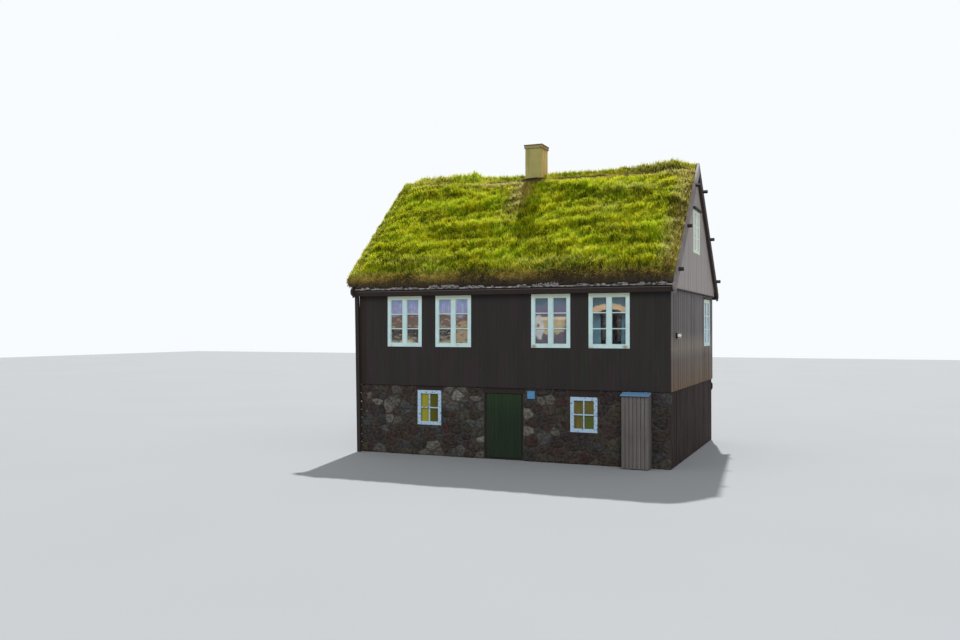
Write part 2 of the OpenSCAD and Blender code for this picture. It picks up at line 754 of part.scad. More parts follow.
// The lid turns on pins along the back, clear of the boarding above
lid_slope = atan((bin_back_h - bin_front_h) / bin_d);
lid_hinges_x = [bin_x + 120, bin_x + bin_w - 120];
lid_pin_y = -half_w - lid_clear - lid_knuckle_r;
lid_pin_z = bin_back_h + lid_knuckle_r + lid_t / 2 + 2;
lid_rear = 26;
module lid_bracket(x) {
    for (side = [-1, 1])
        translate([x + side * 34 - 8, 0, 0]) hull() {
            translate([0, lid_pin_y, lid_pin_z]) rotate([0, 90, 0]) cylinder(h = 16, r = lid_knuckle_r, $fn = 32);
            block([0, lid_pin_y - 6, bin_back_h - 60], [16, -stone_half_w - 2, bin_back_h - 40]);
        }
    translate([x - 34, lid_pin_y, lid_pin_z]) rotate([0, 90, 0]) cylinder(h = 68, r = lid_pin_r, $fn = 48);
}
module bin_lid() {
    color("lightsteelblue") translate([0, lid_pin_y, lid_pin_z]) rotate([lid_slope, 0, 0]) difference() {
        union() {
            block([bin_x - lid_over, -bin_d + 10 - lid_over, -lid_t / 2 - 2],
                  [bin_x + bin_w + lid_over, -lid_rear, lid_t / 2 - 2]);
            for (x = lid_hinges_x) {
                translate([x - 24, 0, 0]) rotate([0, 90, 0]) cylinder(h = 48, r = lid_knuckle_r, $fn = 48);
                block([x - 24, -lid_rear - 10, -6], [x + 24, -2, 2]);
            }
        }
        for (x = lid_hinges_x)
            translate([x - 26, 0, 0]) rotate([0, 90, 0]) cylinder(h = 52, r = lid_pin_r + 0.4, $fn = 48);
    }
}

basement_floor();
basement_front_left_wall();
basement_front_right_wall();
basement_rear_wall();
basement_left_wall();
basement_right_wall();
basement_lintels();
vent_cover();
door_frame();
basement_door();
basement_windows();
basement_glass();
main_floor();
front_wall();
rear_wall();
left_wall();
right_wall();
corner_boards();
corner_post();
front_windows();
rear_windows();
gable_windows();
loft_windows();
main_glass();
loft_glass();
loft_floor();
left_gable();
right_gable();
gable_ledges();
window_drips();
front_roof_deck();
rear_roof_deck();
eave_boards();
eave_bark();
front_turf();
rear_turf();
ridge_turf();
turf_battens();
right_bargeboards();
left_bargeboards();
chimney_stack();
chimney_cap();
gable_lamp();
bin_store();
bin_lid();
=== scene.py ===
import math

import bpy
import numpy as np
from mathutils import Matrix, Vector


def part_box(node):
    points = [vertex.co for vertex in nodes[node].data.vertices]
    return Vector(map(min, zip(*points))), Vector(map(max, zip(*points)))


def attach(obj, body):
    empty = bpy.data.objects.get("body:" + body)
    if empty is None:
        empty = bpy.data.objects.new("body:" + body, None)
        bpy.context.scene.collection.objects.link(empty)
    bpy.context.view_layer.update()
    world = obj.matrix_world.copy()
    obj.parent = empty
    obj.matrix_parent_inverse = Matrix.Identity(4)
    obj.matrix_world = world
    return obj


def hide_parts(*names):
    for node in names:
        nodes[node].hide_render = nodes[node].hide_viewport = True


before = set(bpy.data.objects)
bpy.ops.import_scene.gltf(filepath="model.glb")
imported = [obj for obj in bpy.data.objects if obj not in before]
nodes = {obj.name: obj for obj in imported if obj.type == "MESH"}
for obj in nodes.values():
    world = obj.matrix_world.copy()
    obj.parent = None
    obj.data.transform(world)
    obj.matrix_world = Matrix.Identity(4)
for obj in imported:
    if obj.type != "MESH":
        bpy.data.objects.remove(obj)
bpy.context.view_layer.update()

scene = bpy.context.scene
scene.view_settings.view_transform = "Standard"

# The viewpoint: from the slope below the house, to the right of its front,
# with the camera nearly level. Every length in this file is in metres.
eye = bpy.data.objects.new("viewpoint", bpy.data.cameras.new("viewpoint"))
eye.data.lens, eye.data.sensor_width = 33.38, 36.0
eye.location = (8.839, -26.026, 3.56)
eye.rotation_euler = (math.radians(90.59), 0.0, math.radians(22.973))
scene.collection.objects.link(eye)
scene.camera = eye

# The light: a high lamp behind the house that rakes its front slope, a soft
# low one before it, and an even pale sky that shows brighter than it lights.


def lamp(name, strength, softness, height, turn):
    """A far lamp that shines down from height above the horizon, turn from the front."""
    made = bpy.data.objects.new(name, bpy.data.lights.new(name, "SUN"))
    made.data.energy, made.data.angle = strength, math.radians(softness)
    made.rotation_euler = (math.radians(90 - height), 0.0, math.radians(turn))
    scene.collection.objects.link(made)


def add(tree, kind, inputs=(), **settings):
    """Adds a shader node. inputs pairs a socket with a value or another node's output."""
    made = tree.nodes.new("ShaderNode" + kind)
    for key, value in settings.items():
        setattr(made, key, value)
    for key, value in dict(inputs).items():
        if isinstance(value, bpy.types.NodeSocket):
            tree.links.new(value, made.inputs[key])
        else:
            made.inputs[key].default_value = value
    return made


def seen(colour):
    """A colour as it is seen, from 0 to 255, turned into what a shader takes. A node's
    output stays as it is."""
    if isinstance(colour, bpy.types.NodeSocket):
        return colour
    c = np.array(colour) / 255
    c = np.where(c < 0.04045, c / 12.92, ((c + 0.055) / 1.055) ** 2.4)
    return (*(float(v) for v in c), 1.0)


def reckon(tree, operation, *numbers):
    """A number worked out from one or two others."""
    return add(tree, "Math", dict(enumerate(numbers)), operation=operation).outputs[0]


lamp("high_lamp", 4.6, 1.2, 51.3, 192.5)
lamp("front_lamp", 1.0, 30, 35, 22)
sky = bpy.data.worlds.new("sky")
sky.use_nodes = True
scene.world = sky
tree = sky.node_tree
tree.nodes.clear()
ray = add(tree, "LightPath").outputs
shown = reckon(tree, "MAXIMUM", ray["Is Camera Ray"], ray["Is Glossy Ray"])
shown = reckon(tree, "MAXIMUM", shown, ray["Is Transmission Ray"])
sky_light = add(tree, "Background", {"Color": (0.93, 0.97, 1.0, 1), "Strength": 0.57})
sky_seen = add(tree, "Background", {"Color": (0.94, 0.97, 1.0, 1), "Strength": 1.0})
sky_both = add(tree, "MixShader", {0: shown, 1: sky_light.outputs[0], 2: sky_seen.outputs[0]})
add(tree, "OutputWorld", {"Surface": sky_both.outputs[0]})

# The basement: rough field stones bedded in dark earth and lime, no two alike,
# with a few pale ones. Each stone is a separate low dome, let into the wall.


def start(name, roughness, specular=0.3):
    """A new material with its node tree and its shader."""
    finish = bpy.data.materials.new(name)
    finish.use_nodes = True
    shader = finish.node_tree.nodes["Principled BSDF"]
    shader.inputs["Roughness"].default_value = roughness
    shader.inputs["Specular IOR Level"].default_value = specular
    return finish, finish.node_tree, shader


def mottle(tree, size, detail=3, shift=(0, 0, 0)):
    """Noise from 0 to 1 on Object coordinates. size is that of its clumps, or theirs
    along x, y and z."""
    coords = add(tree, "TexCoord").outputs["Object"]
    scale = tuple(1 / s for s in np.broadcast_to(size, 3))
    place = add(tree, "Mapping", {"Vector": coords, "Scale": scale, "Location": shift})
    return add(tree, "TexNoise", {"Vector": place.outputs[0], "Scale": 1.0, "Detail": detail}).outputs[0]


def span(tree, value, low, high, bottom=0.0, top=1.0):
    """Maps a number from low..high to bottom..top, and holds it there."""
    return add(tree, "MapRange", {0: value, 1: low, 2: high, 3: bottom, 4: top}).outputs[0]


def blots(tree, size, detail, low, high, bottom=0.0, top=1.0, shift=(0, 0, 0)):
    """Noise of that size and detail, mapped from low..high to bottom..top."""
    return span(tree, mottle(tree, size, detail, shift), low, high, bottom, top)


def shades(tree, factor, *stops):
    """Turns a number from 0 to 1 into a colour, by stops of a place and a colour."""
    ramp = add(tree, "ValToRGB", {"Fac": factor})
    marks = ramp.color_ramp.elements
    for _ in stops[2:]:
        marks.new(1.0)
    for mark, (place, *colour) in zip(marks, stops):
        mark.position, mark.color = place, seen(colour)
    return ramp.outputs[0]


def mix(tree, share, a, b, mode="MIX"):
    """Mixes two colours, b over a by share."""
    inputs = {0: share, 6: seen(a), 7: seen(b)}
    return add(tree, "Mix", inputs, data_type="RGBA", blend_type=mode).outputs[2]


def times(tree, a, b):
    """The product of two numbers."""
    return reckon(tree, "MULTIPLY", a, b)


def along(tree, axis):
    """Where a point is along an axis, 0 for x, 1 for y and 2 for z."""
    return add(tree, "SeparateXYZ", {0: add(tree, "TexCoord").outputs["Object"]}).outputs[axis]


def mark(tree, name):
    """A number that the piece's own points carry."""
    return add(tree, "Attribute", attribute_name=name).outputs["Fac"]


def coat(tree, shader, colour, height=None, depth=0.002):
    """Gives the shader its colour, and a bump of that depth from height."""
    tree.links.new(colour, shader.inputs["Base Color"])
    if height is not None:
        bump = add(tree, "Bump", {"Height": height, "Distance": depth})
        tree.links.new(bump.outputs[0], shader.inputs["Normal"])


def clad(finish, *names):
    """Gives CAD nodes this material."""
    for name in names:
        nodes[name].data.materials.clear()
        nodes[name].data.materials.append(finish)


def volume(points, faces):
    """Volume inside a closed skin: the sum of the tetrahedra from the origin to its faces."""
    total = 0.0
    for f in faces:
        for k in range(1, f.shape[1] - 1):
            a, b, c = points[f[:, 0]], points[f[:, k]], points[f[:, k + 1]]
            total += np.einsum("ij,ij->", a, np.cross(b, c)) / 6
    return total


def piece(name, points, faces, finish, slot, body="house", smooth=False, **marks):
    """A closed mesh from arrays, turned to face outwards.

    points are rows of x, y, z. faces are arrays of corner numbers, one array for
    each number of corners. marks are attributes of the mesh, a number for a point.
    """
    points = np.asarray(points, float).reshape(-1, 3)
    if volume(points, faces) < 0:
        faces = [f[:, ::-1] for f in faces]
    corners = np.concatenate([f.ravel() for f in faces])
    sizes = np.concatenate([np.full(len(f), f.shape[1]) for f in faces])
    mesh = bpy.data.meshes.new(name)
    mesh.vertices.add(len(points))
    mesh.vertices.foreach_set("co", points.astype(np.float32).ravel())
    mesh.loops.add(len(corners))
    mesh.loops.foreach_set("vertex_index", corners.astype(np.int32))
    mesh.polygons.add(len(sizes))
    mesh.polygons.foreach_set("loop_start", (np.cumsum(sizes) - sizes).astype(np.int32))
    mesh.update(calc_edges=True)
    if not smooth:
        mesh.shade_flat()
    for mark, values in marks.items():
        values = np.broadcast_to(values, len(points)).astype(np.float32)
        mesh.attributes.new(mark, "FLOAT", "POINT").data.foreach_set("value", values)
    mesh.materials.append(finish)
    made = bpy.data.objects.new(name, mesh)
    scene.collection.objects.link(made)
    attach(made, body)
    return made


def copies(points, faces):
    """Faces of N like shapes: points is N by V by 3, and faces number one shape's corners."""
    first = np.arange(len(points))[:, None, None] * points.shape[1]
    return [(f[None] + first).reshape(-1, f.shape[1]) for f in faces]


def on_wall(turn, distance, u, z, out):
    """Points on a wall that faces turn degrees round from the front, distance from the
    middle: u runs to its right, z up and out towards who looks at it."""
    a, reach = math.radians(turn), distance + out
    x, y = math.cos(a) * u + math.sin(a) * reach, math.sin(a) * u - math.cos(a) * reach
    return np.stack(np.broadcast_arrays(x, y, z), -1)


# Half the basement's length and width, its height, and a stone's usual height and
# width. A stone's outline has so many points and is flatter than round, and its
# rings have these shares of the outline's reach and of the dome's rise. It is let
# into the wall by sunk.
stone_l, stone_w, stone_top = 4.47, 3.392, 1.963
stone_high, stone_wide = 0.225, 0.315
around, flatter = 16, 1.3
ring_reach = np.array([0.66, 0.93, 1.0, 1.0])
ring_rise = np.array([0.98, 0.86, 0.4, 0.0])
sunk = 0.03


def rubble(turn, distance, half, holes, draw):
    """Stones that fill a wall's face.

    Each stone has a middle on a jittered grid. In every direction it reaches to the
    nearest of its half-way lines to other middles, edges and holes, as a soft
    minimum: the reaches' inverses are summed as powers. Then it gives up half a
    joint. The outline is drawn in rings towards its middle, each a share of the
    reach and of the dome's rise, on a face that leans a little.
    """
    rows, count = round(stone_top / stone_high), round(2 * half / stone_wide)
    i, r = np.meshgrid(np.arange(count), np.arange(rows))
    shift = 0.25 * (-1.0) ** r + draw.uniform(-0.42, 0.42, i.shape)
    u = (-half + (i + 0.5 + shift) * 2 * half / count).ravel()
    z = ((r + 0.5 + draw.uniform(-0.42, 0.42, i.shape)) * stone_top / rows).ravel()
    clear = np.ones(len(u), bool)
    for u0, u1, z0, z1 in holes:
        clear &= np.maximum(np.maximum(u0 - u, u - u1), np.maximum(z0 - z, z - z1)) > 0.04
    u, z = u[clear], z[clear]
    each = (len(u), 1, 1)
    middle = np.stack([u, z * flatter], 1)
    size = draw.uniform(-0.03, 0.03, len(u))
    apart = middle[None] - middle[:, None]
    d = np.hypot(apart[..., 0], apart[..., 1]) + np.eye(len(u)) * 1e3
    reach = np.maximum((d**2 + size[:, None] - size[None]) / (2 * d), 0.02)
    heading = np.arctan2(apart[..., 1], apart[..., 0])
    ways = np.array([0, math.pi, math.pi / 2, -math.pi / 2])
    sides = [half - u, half + u, (stone_top - z) * flatter, z * flatter]
    edges = [(side, np.full(len(u), way)) for side, way in zip(sides, ways)]
    for u0, u1, z0, z1 in holes:
        sides = np.stack([u0 - u, u - u1, (z0 - z) * flatter, (z - z1) * flatter])
        edges.append((sides.max(0), ways[sides.argmax(0)]))
    reach = np.concatenate([reach, np.stack([np.maximum(h, 0.02) for h, _ in edges], 1)], 1)
    heading = np.concatenate([heading, np.stack([way for _, way in edges], 1)], 1)
    angle = np.arange(around) * 2 * math.pi / around + draw.uniform(0, 1, (len(u), 1))
    facing = np.cos(angle[:, None] - heading[..., None]) / reach[..., None]
    outline = (np.maximum(facing, 0) ** 26).sum(1) ** (-1 / 26)
    outline = np.maximum(outline - draw.uniform(0.002, 0.006, (len(u), 1)), 0.015)
    outline *= 1 - draw.uniform(0, 0.13, outline.shape)
    du = outline[:, None] * ring_reach[:, None] * np.cos(angle)[:, None]
    dz = outline[:, None] * ring_reach[:, None] * np.sin(angle)[:, None] / flatter
    rise = draw.uniform(0.009, 0.023, each) * ring_rise[:, None] + 0 * du
    rise += draw.uniform(-0.06, 0.06, each) * du + draw.uniform(-0.07, 0.07, each) * dz
    rise += draw.uniform(-0.0015, 0.0015, rise.shape)
    rise = np.clip(rise, 0.001, 0.029)
    rise[:, -1] = -sunk

    def whole(top, rings, back):
        """A stone's numbers in a row: its top's, its rings' and its back's."""
        return np.concatenate([top[:, None], rings.reshape(len(u), -1), back[:, None]], 1)

    all_z = np.clip(whole(z, z[:, None, None] + dz, z), 0.002, stone_top)
    out = whole(rise[:, 0].mean(1) * 1.02, rise, np.full(len(u), -sunk))
    return on_wall(turn, distance, whole(u, u[:, None, None] + du, u), all_z, out)


k = np.arange(around)
k1 = (k + 1) % around
last = 1 + 4 * around
inner = 1 + np.arange(3)[:, None] * around
outer = inner + around
stone_faces = [
    np.concatenate([np.stack([0 * k, 1 + k, 1 + k1], 1),
                    np.stack([last + 0 * k, last - around + k1, last - around + k], 1)]),
    np.stack([inner + k, outer + k, outer + k1, inner + k1], -1).reshape(-1, 4),
]

stones, tree, shader = start("field_stone", 0.95, 0.2)
body = shades(tree, mark(tree, "tone"), (0.0, 57, 52, 52), (0.15, 72, 69, 60), (0.3, 72, 58, 55),
              (0.45, 62, 60, 61), (0.6, 83, 80, 70), (0.72, 60, 54, 56), (0.85, 77, 80, 83),
              (0.93, 102, 101, 95), (0.97, 126, 126, 120), (1.0, 156, 160, 156))
patchy = blots(tree, (0.09, 0.09, 0.07), 5, 0.32, 0.66)
body = mix(tree, patchy, body, (162, 154, 148), "MULTIPLY")
ruddy = blots(tree, (0.5, 0.5, 0.35), 2, 0.5, 0.66, 0.0, 0.5, shift=(2, 5, 1))
body = mix(tree, ruddy, body, (255, 214, 206), "MULTIPLY")
lichen = blots(tree, 0.04, 4, 0.60, 0.72, 0.0, 0.45, shift=(3, 1, 2))
body = mix(tree, lichen, body, (104, 102, 84))
coat(tree, shader, body, mottle(tree, 0.02, 6), 0.006)

bed, tree, shader = start("earth_bed", 0.97, 0.15)
clods = mottle(tree, 0.05, 5)
bedding = mix(tree, span(tree, clods, 0.3, 0.7), (54, 49, 47), (78, 72, 67))
coat(tree, shader, bedding, clods, 0.012)
clad(bed, "basement_front_left_wall", "basement_front_right_wall", "basement_rear_wall",
     "basement_left_wall", "basement_right_wall", "basement_floor")

# The front's openings: left, right, foot and top of the door's, the windows' and
# their lintels', the vent's and the bin store's.
front_holes = [(-0.628, 0.512, -1, 1.81), (-0.688, 0.572, 1.81, 2), (-2.6715, -1.9365, 0.861, 1.835),
               (-2.7315, -1.8765, 1.835, 2), (1.8435, 2.5785, 0.844, 1.772), (1.7835, 2.6385, 1.772, 2),
               (0.625, 0.857, 1.675, 1.9), (3.29, 4.0, -1, 1.918)]
# Where pale stones sit in the front, across and up, and how bright the others may be.
pale_stones = [(-1.51, 1.59), (-0.77, 1.66), (-3.49, 1.34), (-3.61, 0.93), (-3.86, 1.44), (-2.16, 0.42),
               (-0.77, 0.47), (1.0, 1.69), (0.64, 1.1), (0.7, 0.85)]
brightest_plain = 0.93
draw = np.random.default_rng(11)
for name, turn, distance, half, holes in [
        ("front_stones", 0, stone_w, stone_l, front_holes), ("rear_stones", 180, stone_w, stone_l, []),
        ("left_stones", 270, stone_l, stone_w, [])]:
    points = rubble(turn, distance, half, holes, draw)
    tones = draw.uniform(0, 1, len(points))
    if turn == 0:
        apart = points.mean(1)[:, None, ::2] - np.array(pale_stones)
        nearest = np.hypot(apart[..., 0], apart[..., 1]).argmin(0)
        tones = np.minimum(tones, brightest_plain)
        tones[nearest] = draw.uniform(0.94, 0.985, len(pale_stones))
    tones = np.repeat(tones, points.shape[1])
    piece(name, points, copies(points, stone_faces), stones, "rubble", smooth=True, tone=tones)

# Bigger stones bond the left corners: squared blocks of the same stone, laid by
# turns along the front and along the side.


def skin(rings, count):
    """Faces of a closed skin through rings of count points, with a cap at each end."""
    i, j = np.meshgrid(np.arange(rings - 1), np.arange(count), indexing="ij")
    a, b = i * count + j, i * count + (j + 1) % count
    ends = np.stack([np.arange(count)[::-1], (rings - 1) * count + np.arange(count)])
    return [np.stack([a, b, b + count, a + count], -1).reshape(-1, 4), ends]


def corner_stones(side, draw):
    """Rounded blocks one over another: each is a sphere whose sines and cosines are
    raised to the power 0.2, stretched to the block's half length, width and height."""
    count = 8
    a, b = np.meshgrid(np.radians(np.arange(0, 360, 15)), np.radians(np.linspace(-88, 88, 11)))
    edges = np.cumsum(np.r_[0.0, draw.uniform(0.8, 1.2, count)])
    edges *= stone_top / edges[-1]
    low, high = edges[:-1, None, None], edges[1:, None, None]
    by_turns = np.arange(count)[:, None, None] % 2
    long, short = draw.uniform(0.15, 0.24, (2, count, 1, 1)) * [[[[1.0]]], [[[0.6]]]]
    half_x, half_y = np.where(by_turns, long, short), np.where(by_turns, short, long)
    soft = lambda v: np.sign(v) * np.abs(v) ** 0.2
    corner_x = -4.53 - 0.018 * low + draw.uniform(0, 0.01, (count, 1, 1))
    x = corner_x + half_x * (1 + soft(np.cos(b)) * soft(np.cos(a)))
    corner_y = 3.418 + draw.uniform(0, 0.008, (count, 1, 1))
    y = side * (corner_y - half_y * (1 + soft(np.cos(b)) * soft(np.sin(a))))
    z = (low + high) / 2 + (high - low) / 2 * soft(np.sin(b))
    return np.stack([x, y, z], -1).reshape(count, -1, 3)


both_sides = [("front", -1), ("rear", 1)]
draw = np.random.default_rng(17)
for name, side in both_sides:
    points = corner_stones(side, draw)
    tones = np.repeat(draw.uniform(0.05, 0.9, len(points)), points.shape[1])
    piece(name + "_corner_stones", points, copies(points, skin(11, 24)), stones, "rubble", smooth=True,
          tone=tones)

# The boarding: upright tarred boards nailed edge to edge over the timber frame,
# sawn off round the windows and, on the gables, to the slope of the roof.

# Half the storey's length and width, half the length between the upper gables'
# boards, the ledge's top and underside, and the roof's ridge, slope and boards.
half_l, half_w, upper_l = 4.5, 3.422, 4.56
ledge_z, ledge_low = 4.61, 4.58
slope = math.radians(44)
ridge_z, deck_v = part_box("front_roof_deck")[1].z, 0.06 / math.cos(slope)
k = np.arange(6)
k1 = (k + 1) % 6
bar_faces = [np.concatenate([np.stack([k, k1, k1 + 6, k + 6], 1),
                             [[6, 7, 8, 9], [6, 9, 10, 11], [3, 2, 1, 0], [5, 4, 3, 0]]])]


def roof_under(u):
    """Height of the roof boards' underside, u across from the ridge."""
    return ridge_z - deck_v - np.abs(u) * math.tan(slope)


def bars(turn, distance, left, right, low, high, foot, rise, bevel=0.003, lying=False, top=None):
    """Planed bars on a wall.

    A bar's section is a rectangle with its two outer edges bevelled, carried from low
    to high, or to a ceiling that top gives for each place across. A lying bar's
    section is carried along the wall: left and right are then heights.
    """
    if lying:
        low, high = -np.asarray(high), -np.asarray(low)
    left, right, low, high, foot, rise = np.broadcast_arrays(
        *(np.atleast_1d(np.asarray(v, float)) for v in (left, right, low, high, foot, rise)))
    across = np.stack([left, left, left + bevel, right - bevel, right, right], 1)
    end = np.repeat(high[:, None], 6, 1)
    if top is not None:
        end = np.minimum(end, top(across))
    out = np.stack([foot, foot + rise - bevel, foot + rise, foot + rise, foot + rise - bevel, foot], 1)
    length = np.concatenate([np.repeat(low[:, None], 6, 1), end], 1)
    across, out = np.tile(across, (1, 2)), np.tile(out, (1, 2))
    u, z = (-length, across) if lying else (across, length)
    return on_wall(turn, distance, u, z, out)


def lay_boards(first, last, width, low, high, openings):
    """Rows of left, right, low and high of each board: the wall is divided at its
    openings' edges, each length into equal boards, and those in line with an opening
    stop under it and start again over it."""
    marks = sorted({first, last, *(edge for o in openings for edge in o[:2])})
    found = []
    for a, b in zip(marks, marks[1:]):
        edges = np.linspace(a, b, max(1, round((b - a) / width)) + 1)
        levels = [low, *(z for o in openings if o[0] < (a + b) / 2 < o[1] for z in o[2:]), high]
        found += [(u0, u1, z0, z1) for u0, u1 in zip(edges, edges[1:])
                  for z0, z1 in zip(levels[::2], levels[1::2]) if z1 > z0]
    return np.array(found)


def boarding(name, turn, distance, rows, finish, slot, draw, gap=0.0006, thick=0.018, top=None, **more):
    """A wall of boards, each of its own thickness and tone."""
    rise = thick + draw.uniform(-0.0008, 0.0008, len(rows)) * gap / 0.0006
    points = bars(turn, distance, rows[:, 0] + gap, rows[:, 1] - gap, rows[:, 2], rows[:, 3], 0.0, rise,
                  0.0012, top=top)
    tones = np.repeat(draw.uniform(0, 1, len(rows)), 12)
    return piece(name, points, copies(points, bar_faces), finish, slot, tone=tones, **more)


def timber(name, roughness, dark, plain, pale, specular=0.3, across=0.02, wear=0.5, depth=0.0015):
    """Sawn wood with its grain upright: tone picks each board's shade between dark and
    plain, fine long streaks go towards pale, and broad stains darken it again."""
    finish, tree, shader = start(name, roughness, specular)
    colour = shades(tree, mark(tree, "tone"), (0.0, *plain), (0.5, *dark), (1.0, *plain))
    streak = mottle(tree, (across, across, 0.9), 4)
    colour = mix(tree, span(tree, streak, 0.5, 0.75, 0.0, wear), colour, pale)
    stain = blots(tree, (0.5, 0.5, 1.4), 3, 0.45, 0.7, 0.0, 0.45, shift=(5, 2, 1))
    colour = mix(tree, stain, colour, dark)
    fine = mottle(tree, (across / 4, across / 4, 0.25), 3)
    coat(tree, shader, colour, fine, depth)
    return finish, tree, shader, colour


tarred, tree, shader, colour = timber("tarred_boards", 0.75, (42, 38, 37), (45, 41, 39), (52, 48, 46), 0.2,
                                      wear=0.35)
ruddy = blots(tree, (0.3, 0.3, 1.8), 4, 0.46, 0.62, 0.0, 0.5, shift=(1, 7, 3))
colour = mix(tree, ruddy, colour, (56, 42, 48))
moss = blots(tree, (0.2, 0.2, 1.6), 4, 0.5, 0.64, 0.0, 0.7, shift=(8, 2, 5))
coat(tree, shader, mix(tree, moss, colour, (43, 46, 38)))

# The windows: where the front's stand, their width, height and foot, where the
# gables' and the lofts' stand, and how high the drip boards over them are.
windows_x, win_w, win_h, win_z = [-3.074, -1.549, 1.309, 2.902], 1.09, 1.435, 3.063
gable_win_y, gable_win_z, loft_z, loft_h = 2.255, 3.04, ridge_z - 2.47, 1.24
win_drip, loft_drip = 0.045, 0.06
board_w, gable_board_w = 0.128, 0.155
draw = np.random.default_rng(12)
for name, turn, sign in [("front_boards", 0, 1), ("rear_boards", 180, -1)]:
    openings = sorted((x * sign - win_w / 2, x * sign + win_w / 2, win_z, win_z + win_h) for x in windows_x)
    ends = sorted([-4.34 * sign, 4.5 * sign])
    rows = lay_boards(*ends, board_w, stone_top + 0.002, roof_under(half_w) - 0.05, openings)
    boarding(name, turn, half_w, rows, tarred, "tarred_timber", draw)
clad(tarred, "front_wall", "rear_wall", "corner_post", "turf_battens", "gable_ledges", "window_drips")

gabled, tree, shader, colour = timber("gable_boards", 0.5, (74, 69, 69), (103, 97, 95), (126, 120, 116),
                                      0.06, 0.018)
height, streaks = along(tree, 2), mottle(tree, (0.1, 0.1, 1.5), 3, (6, 2, 3))
# Painted reflections in the tarred boards' gloss: a lighter warm band, streaked, at about 3 m, and a brown
# foot that fades out upwards by 3.2 m.
lightened = times(tree, span(tree, height, 2.75, 3.05), span(tree, height, 3.05, 3.5, 1.0, 0.0))
colour = mix(tree, times(tree, lightened, span(tree, streaks, 0.3, 0.7, 0.2, 0.8)), colour, (142, 130, 112))
brown_foot_reflection = mix(tree, span(tree, height, 1.9, 3.2, 0.95, 0.0), colour, (98, 76, 50))
upper = span(tree, height, 4.55, 4.65, 0.0, 0.7)
cool = mix(tree, upper, brown_foot_reflection, (172, 163, 160))
coat(tree, shader, cool)
# The left gable's boards end at its corner boards, and the right gable's run out to
# the faces of the front's and the rear's boards.
for side, turn in [("right", 90), ("left", 270)]:
    v = gable_win_y * (1 if side == "right" else -1)
    opening = (v - win_w / 2, v + win_w / 2, gable_win_z, gable_win_z + win_h + win_drip)
    inner = half_w + 0.018 if side == "right" else half_w - 0.16
    rows = lay_boards(-inner, inner, gable_board_w, stone_top + 0.002, ledge_low - 0.002, [opening])
    boarding(side + "_lower_boards", turn, half_l, rows, gabled, "gable_boards", draw, gap=0.004)
    loft = [(u, u + win_w / 2, loft_z, loft_z + loft_h + loft_drip) for u in (-win_w / 2, 0.0)]
    rows = lay_boards(-half_w, half_w, gable_board_w, ledge_z + 0.002, 9.0, loft)
    boarding(side + "_upper_boards", turn, upper_l, rows, gabled, "gable_boards", draw, gap=0.002,
             top=lambda u: roof_under(u) - 0.004)
clad(gabled, "left_wall", "right_wall", "left_gable", "right_gable")

# Under the right gable the stones are faced with old upright planks, bare and
# bleached, with open joints.
plank, *_ = timber("bare_planks", 0.9, (42, 35, 34), (60, 50, 48), (100, 91, 88), 0.1, 0.04, 0.45, 0.003)
rows = lay_boards(-stone_w, stone_w, 0.145, 0.005, stone_top - 0.004, [])
boarding("basement_planks", 90, stone_l, rows, plank, "weathered_wood", draw, gap=0.004, thick=0.022)

# The door: a ledged leaf of upright green boards on two pins, under a heavy oiled
# lintel like those of the basement's windows.
oiled, *_ = timber("oiled_timber", 0.7, (38, 30, 28), (44, 35, 32), (56, 46, 43), 0.2)
clad(oiled, "basement_lintels", "corner_boards", "door_frame")
green, tree, shader, colour = timber("door_green", 0.6, (22, 36, 22), (29, 44, 27), (42, 58, 38), 0.2, 0.03)
lightened = mix(tree, span(tree, along(tree, 2), 1.2, 1.85, 0.0, 0.5), colour, (36, 60, 32))
coat(tree, shader, lightened)
clad(green, "basement_door")
rows = lay_boards(-0.56, 0.452, 0.112, 0.06, 1.796, [])
boarding("door_boards", 0, 3.352, rows, green, "door_paint", draw, gap=0.002, thick=0.008, body="door")

# A small board painted bright blue covers a vent in the wall, beside the door's
# lintel. Its paint is worn in small flecks.
blue, tree, shader = start("cover_blue", 0.5, 0.4)
worn = blots(tree, 0.03, 5, 0.58, 0.72, 0.0, 0.4)
coat(tree, shader, mix(tree, worn, (77, 134, 178), (116, 154, 186)), mottle(tree, (0.02, 0.02, 0.2)), 0.001)
clad(blue, "vent_cover")

# The windows: painted wooden casings, each with two casements of three panes.
# Thin sashes and glazing bars are set in the casings' openings, before the glass.


def oval(tree, middle, size):
    """How far a point is from a middle along x and z, in sizes."""
    place = add(tree, "Mapping", {
        "Vector": add(tree, "TexCoord").outputs["Object"], "Scale": (1 / size[0], 0, 1 / size[1]),
        "Location": (-middle[0] / size[0], 0, -middle[1] / size[1])})
    return add(tree, "VectorMath", {0: place.outputs[0]}, operation="LENGTH").outputs["Value"]


paint, tree, shader = start("window_white", 0.5, 0.4)
white = mix(tree, blots(tree, 0.25, 4, 0.4, 0.7), (200, 226, 225), (187, 214, 215))
height = along(tree, 2)
white = mix(tree, span(tree, height, 4.28, 4.44, 0.0, 0.75), white, (218, 226, 192))
low = span(tree, height, 3.07, 3.19, 1.0, 0.0)
spots = blots(tree, (0.16, 0.16, 0.12), 4, 0.56, 0.66, 0.0, 0.6, shift=(2, 6, 4))
white = mix(tree, times(tree, low, spots), white, (168, 142, 92))
for corner in (0.84, 3.33):
    stain = span(tree, oval(tree, (corner, 3.10), (0.1, 0.06)), 0.2, 1.0, 0.9, 0.0)
    white = mix(tree, stain, white, (140, 118, 52))
basement = span(tree, height, 2.0, 2.1, 1.0, 0.0)
white = mix(tree, times(tree, basement, 0.75), white, (160, 188, 220))
nicks = blots(tree, 0.06, 4, 0.57, 0.63, 0.0, 0.75, shift=(4, 1, 7))
white = mix(tree, times(tree, basement, nicks), white, (86, 92, 98))
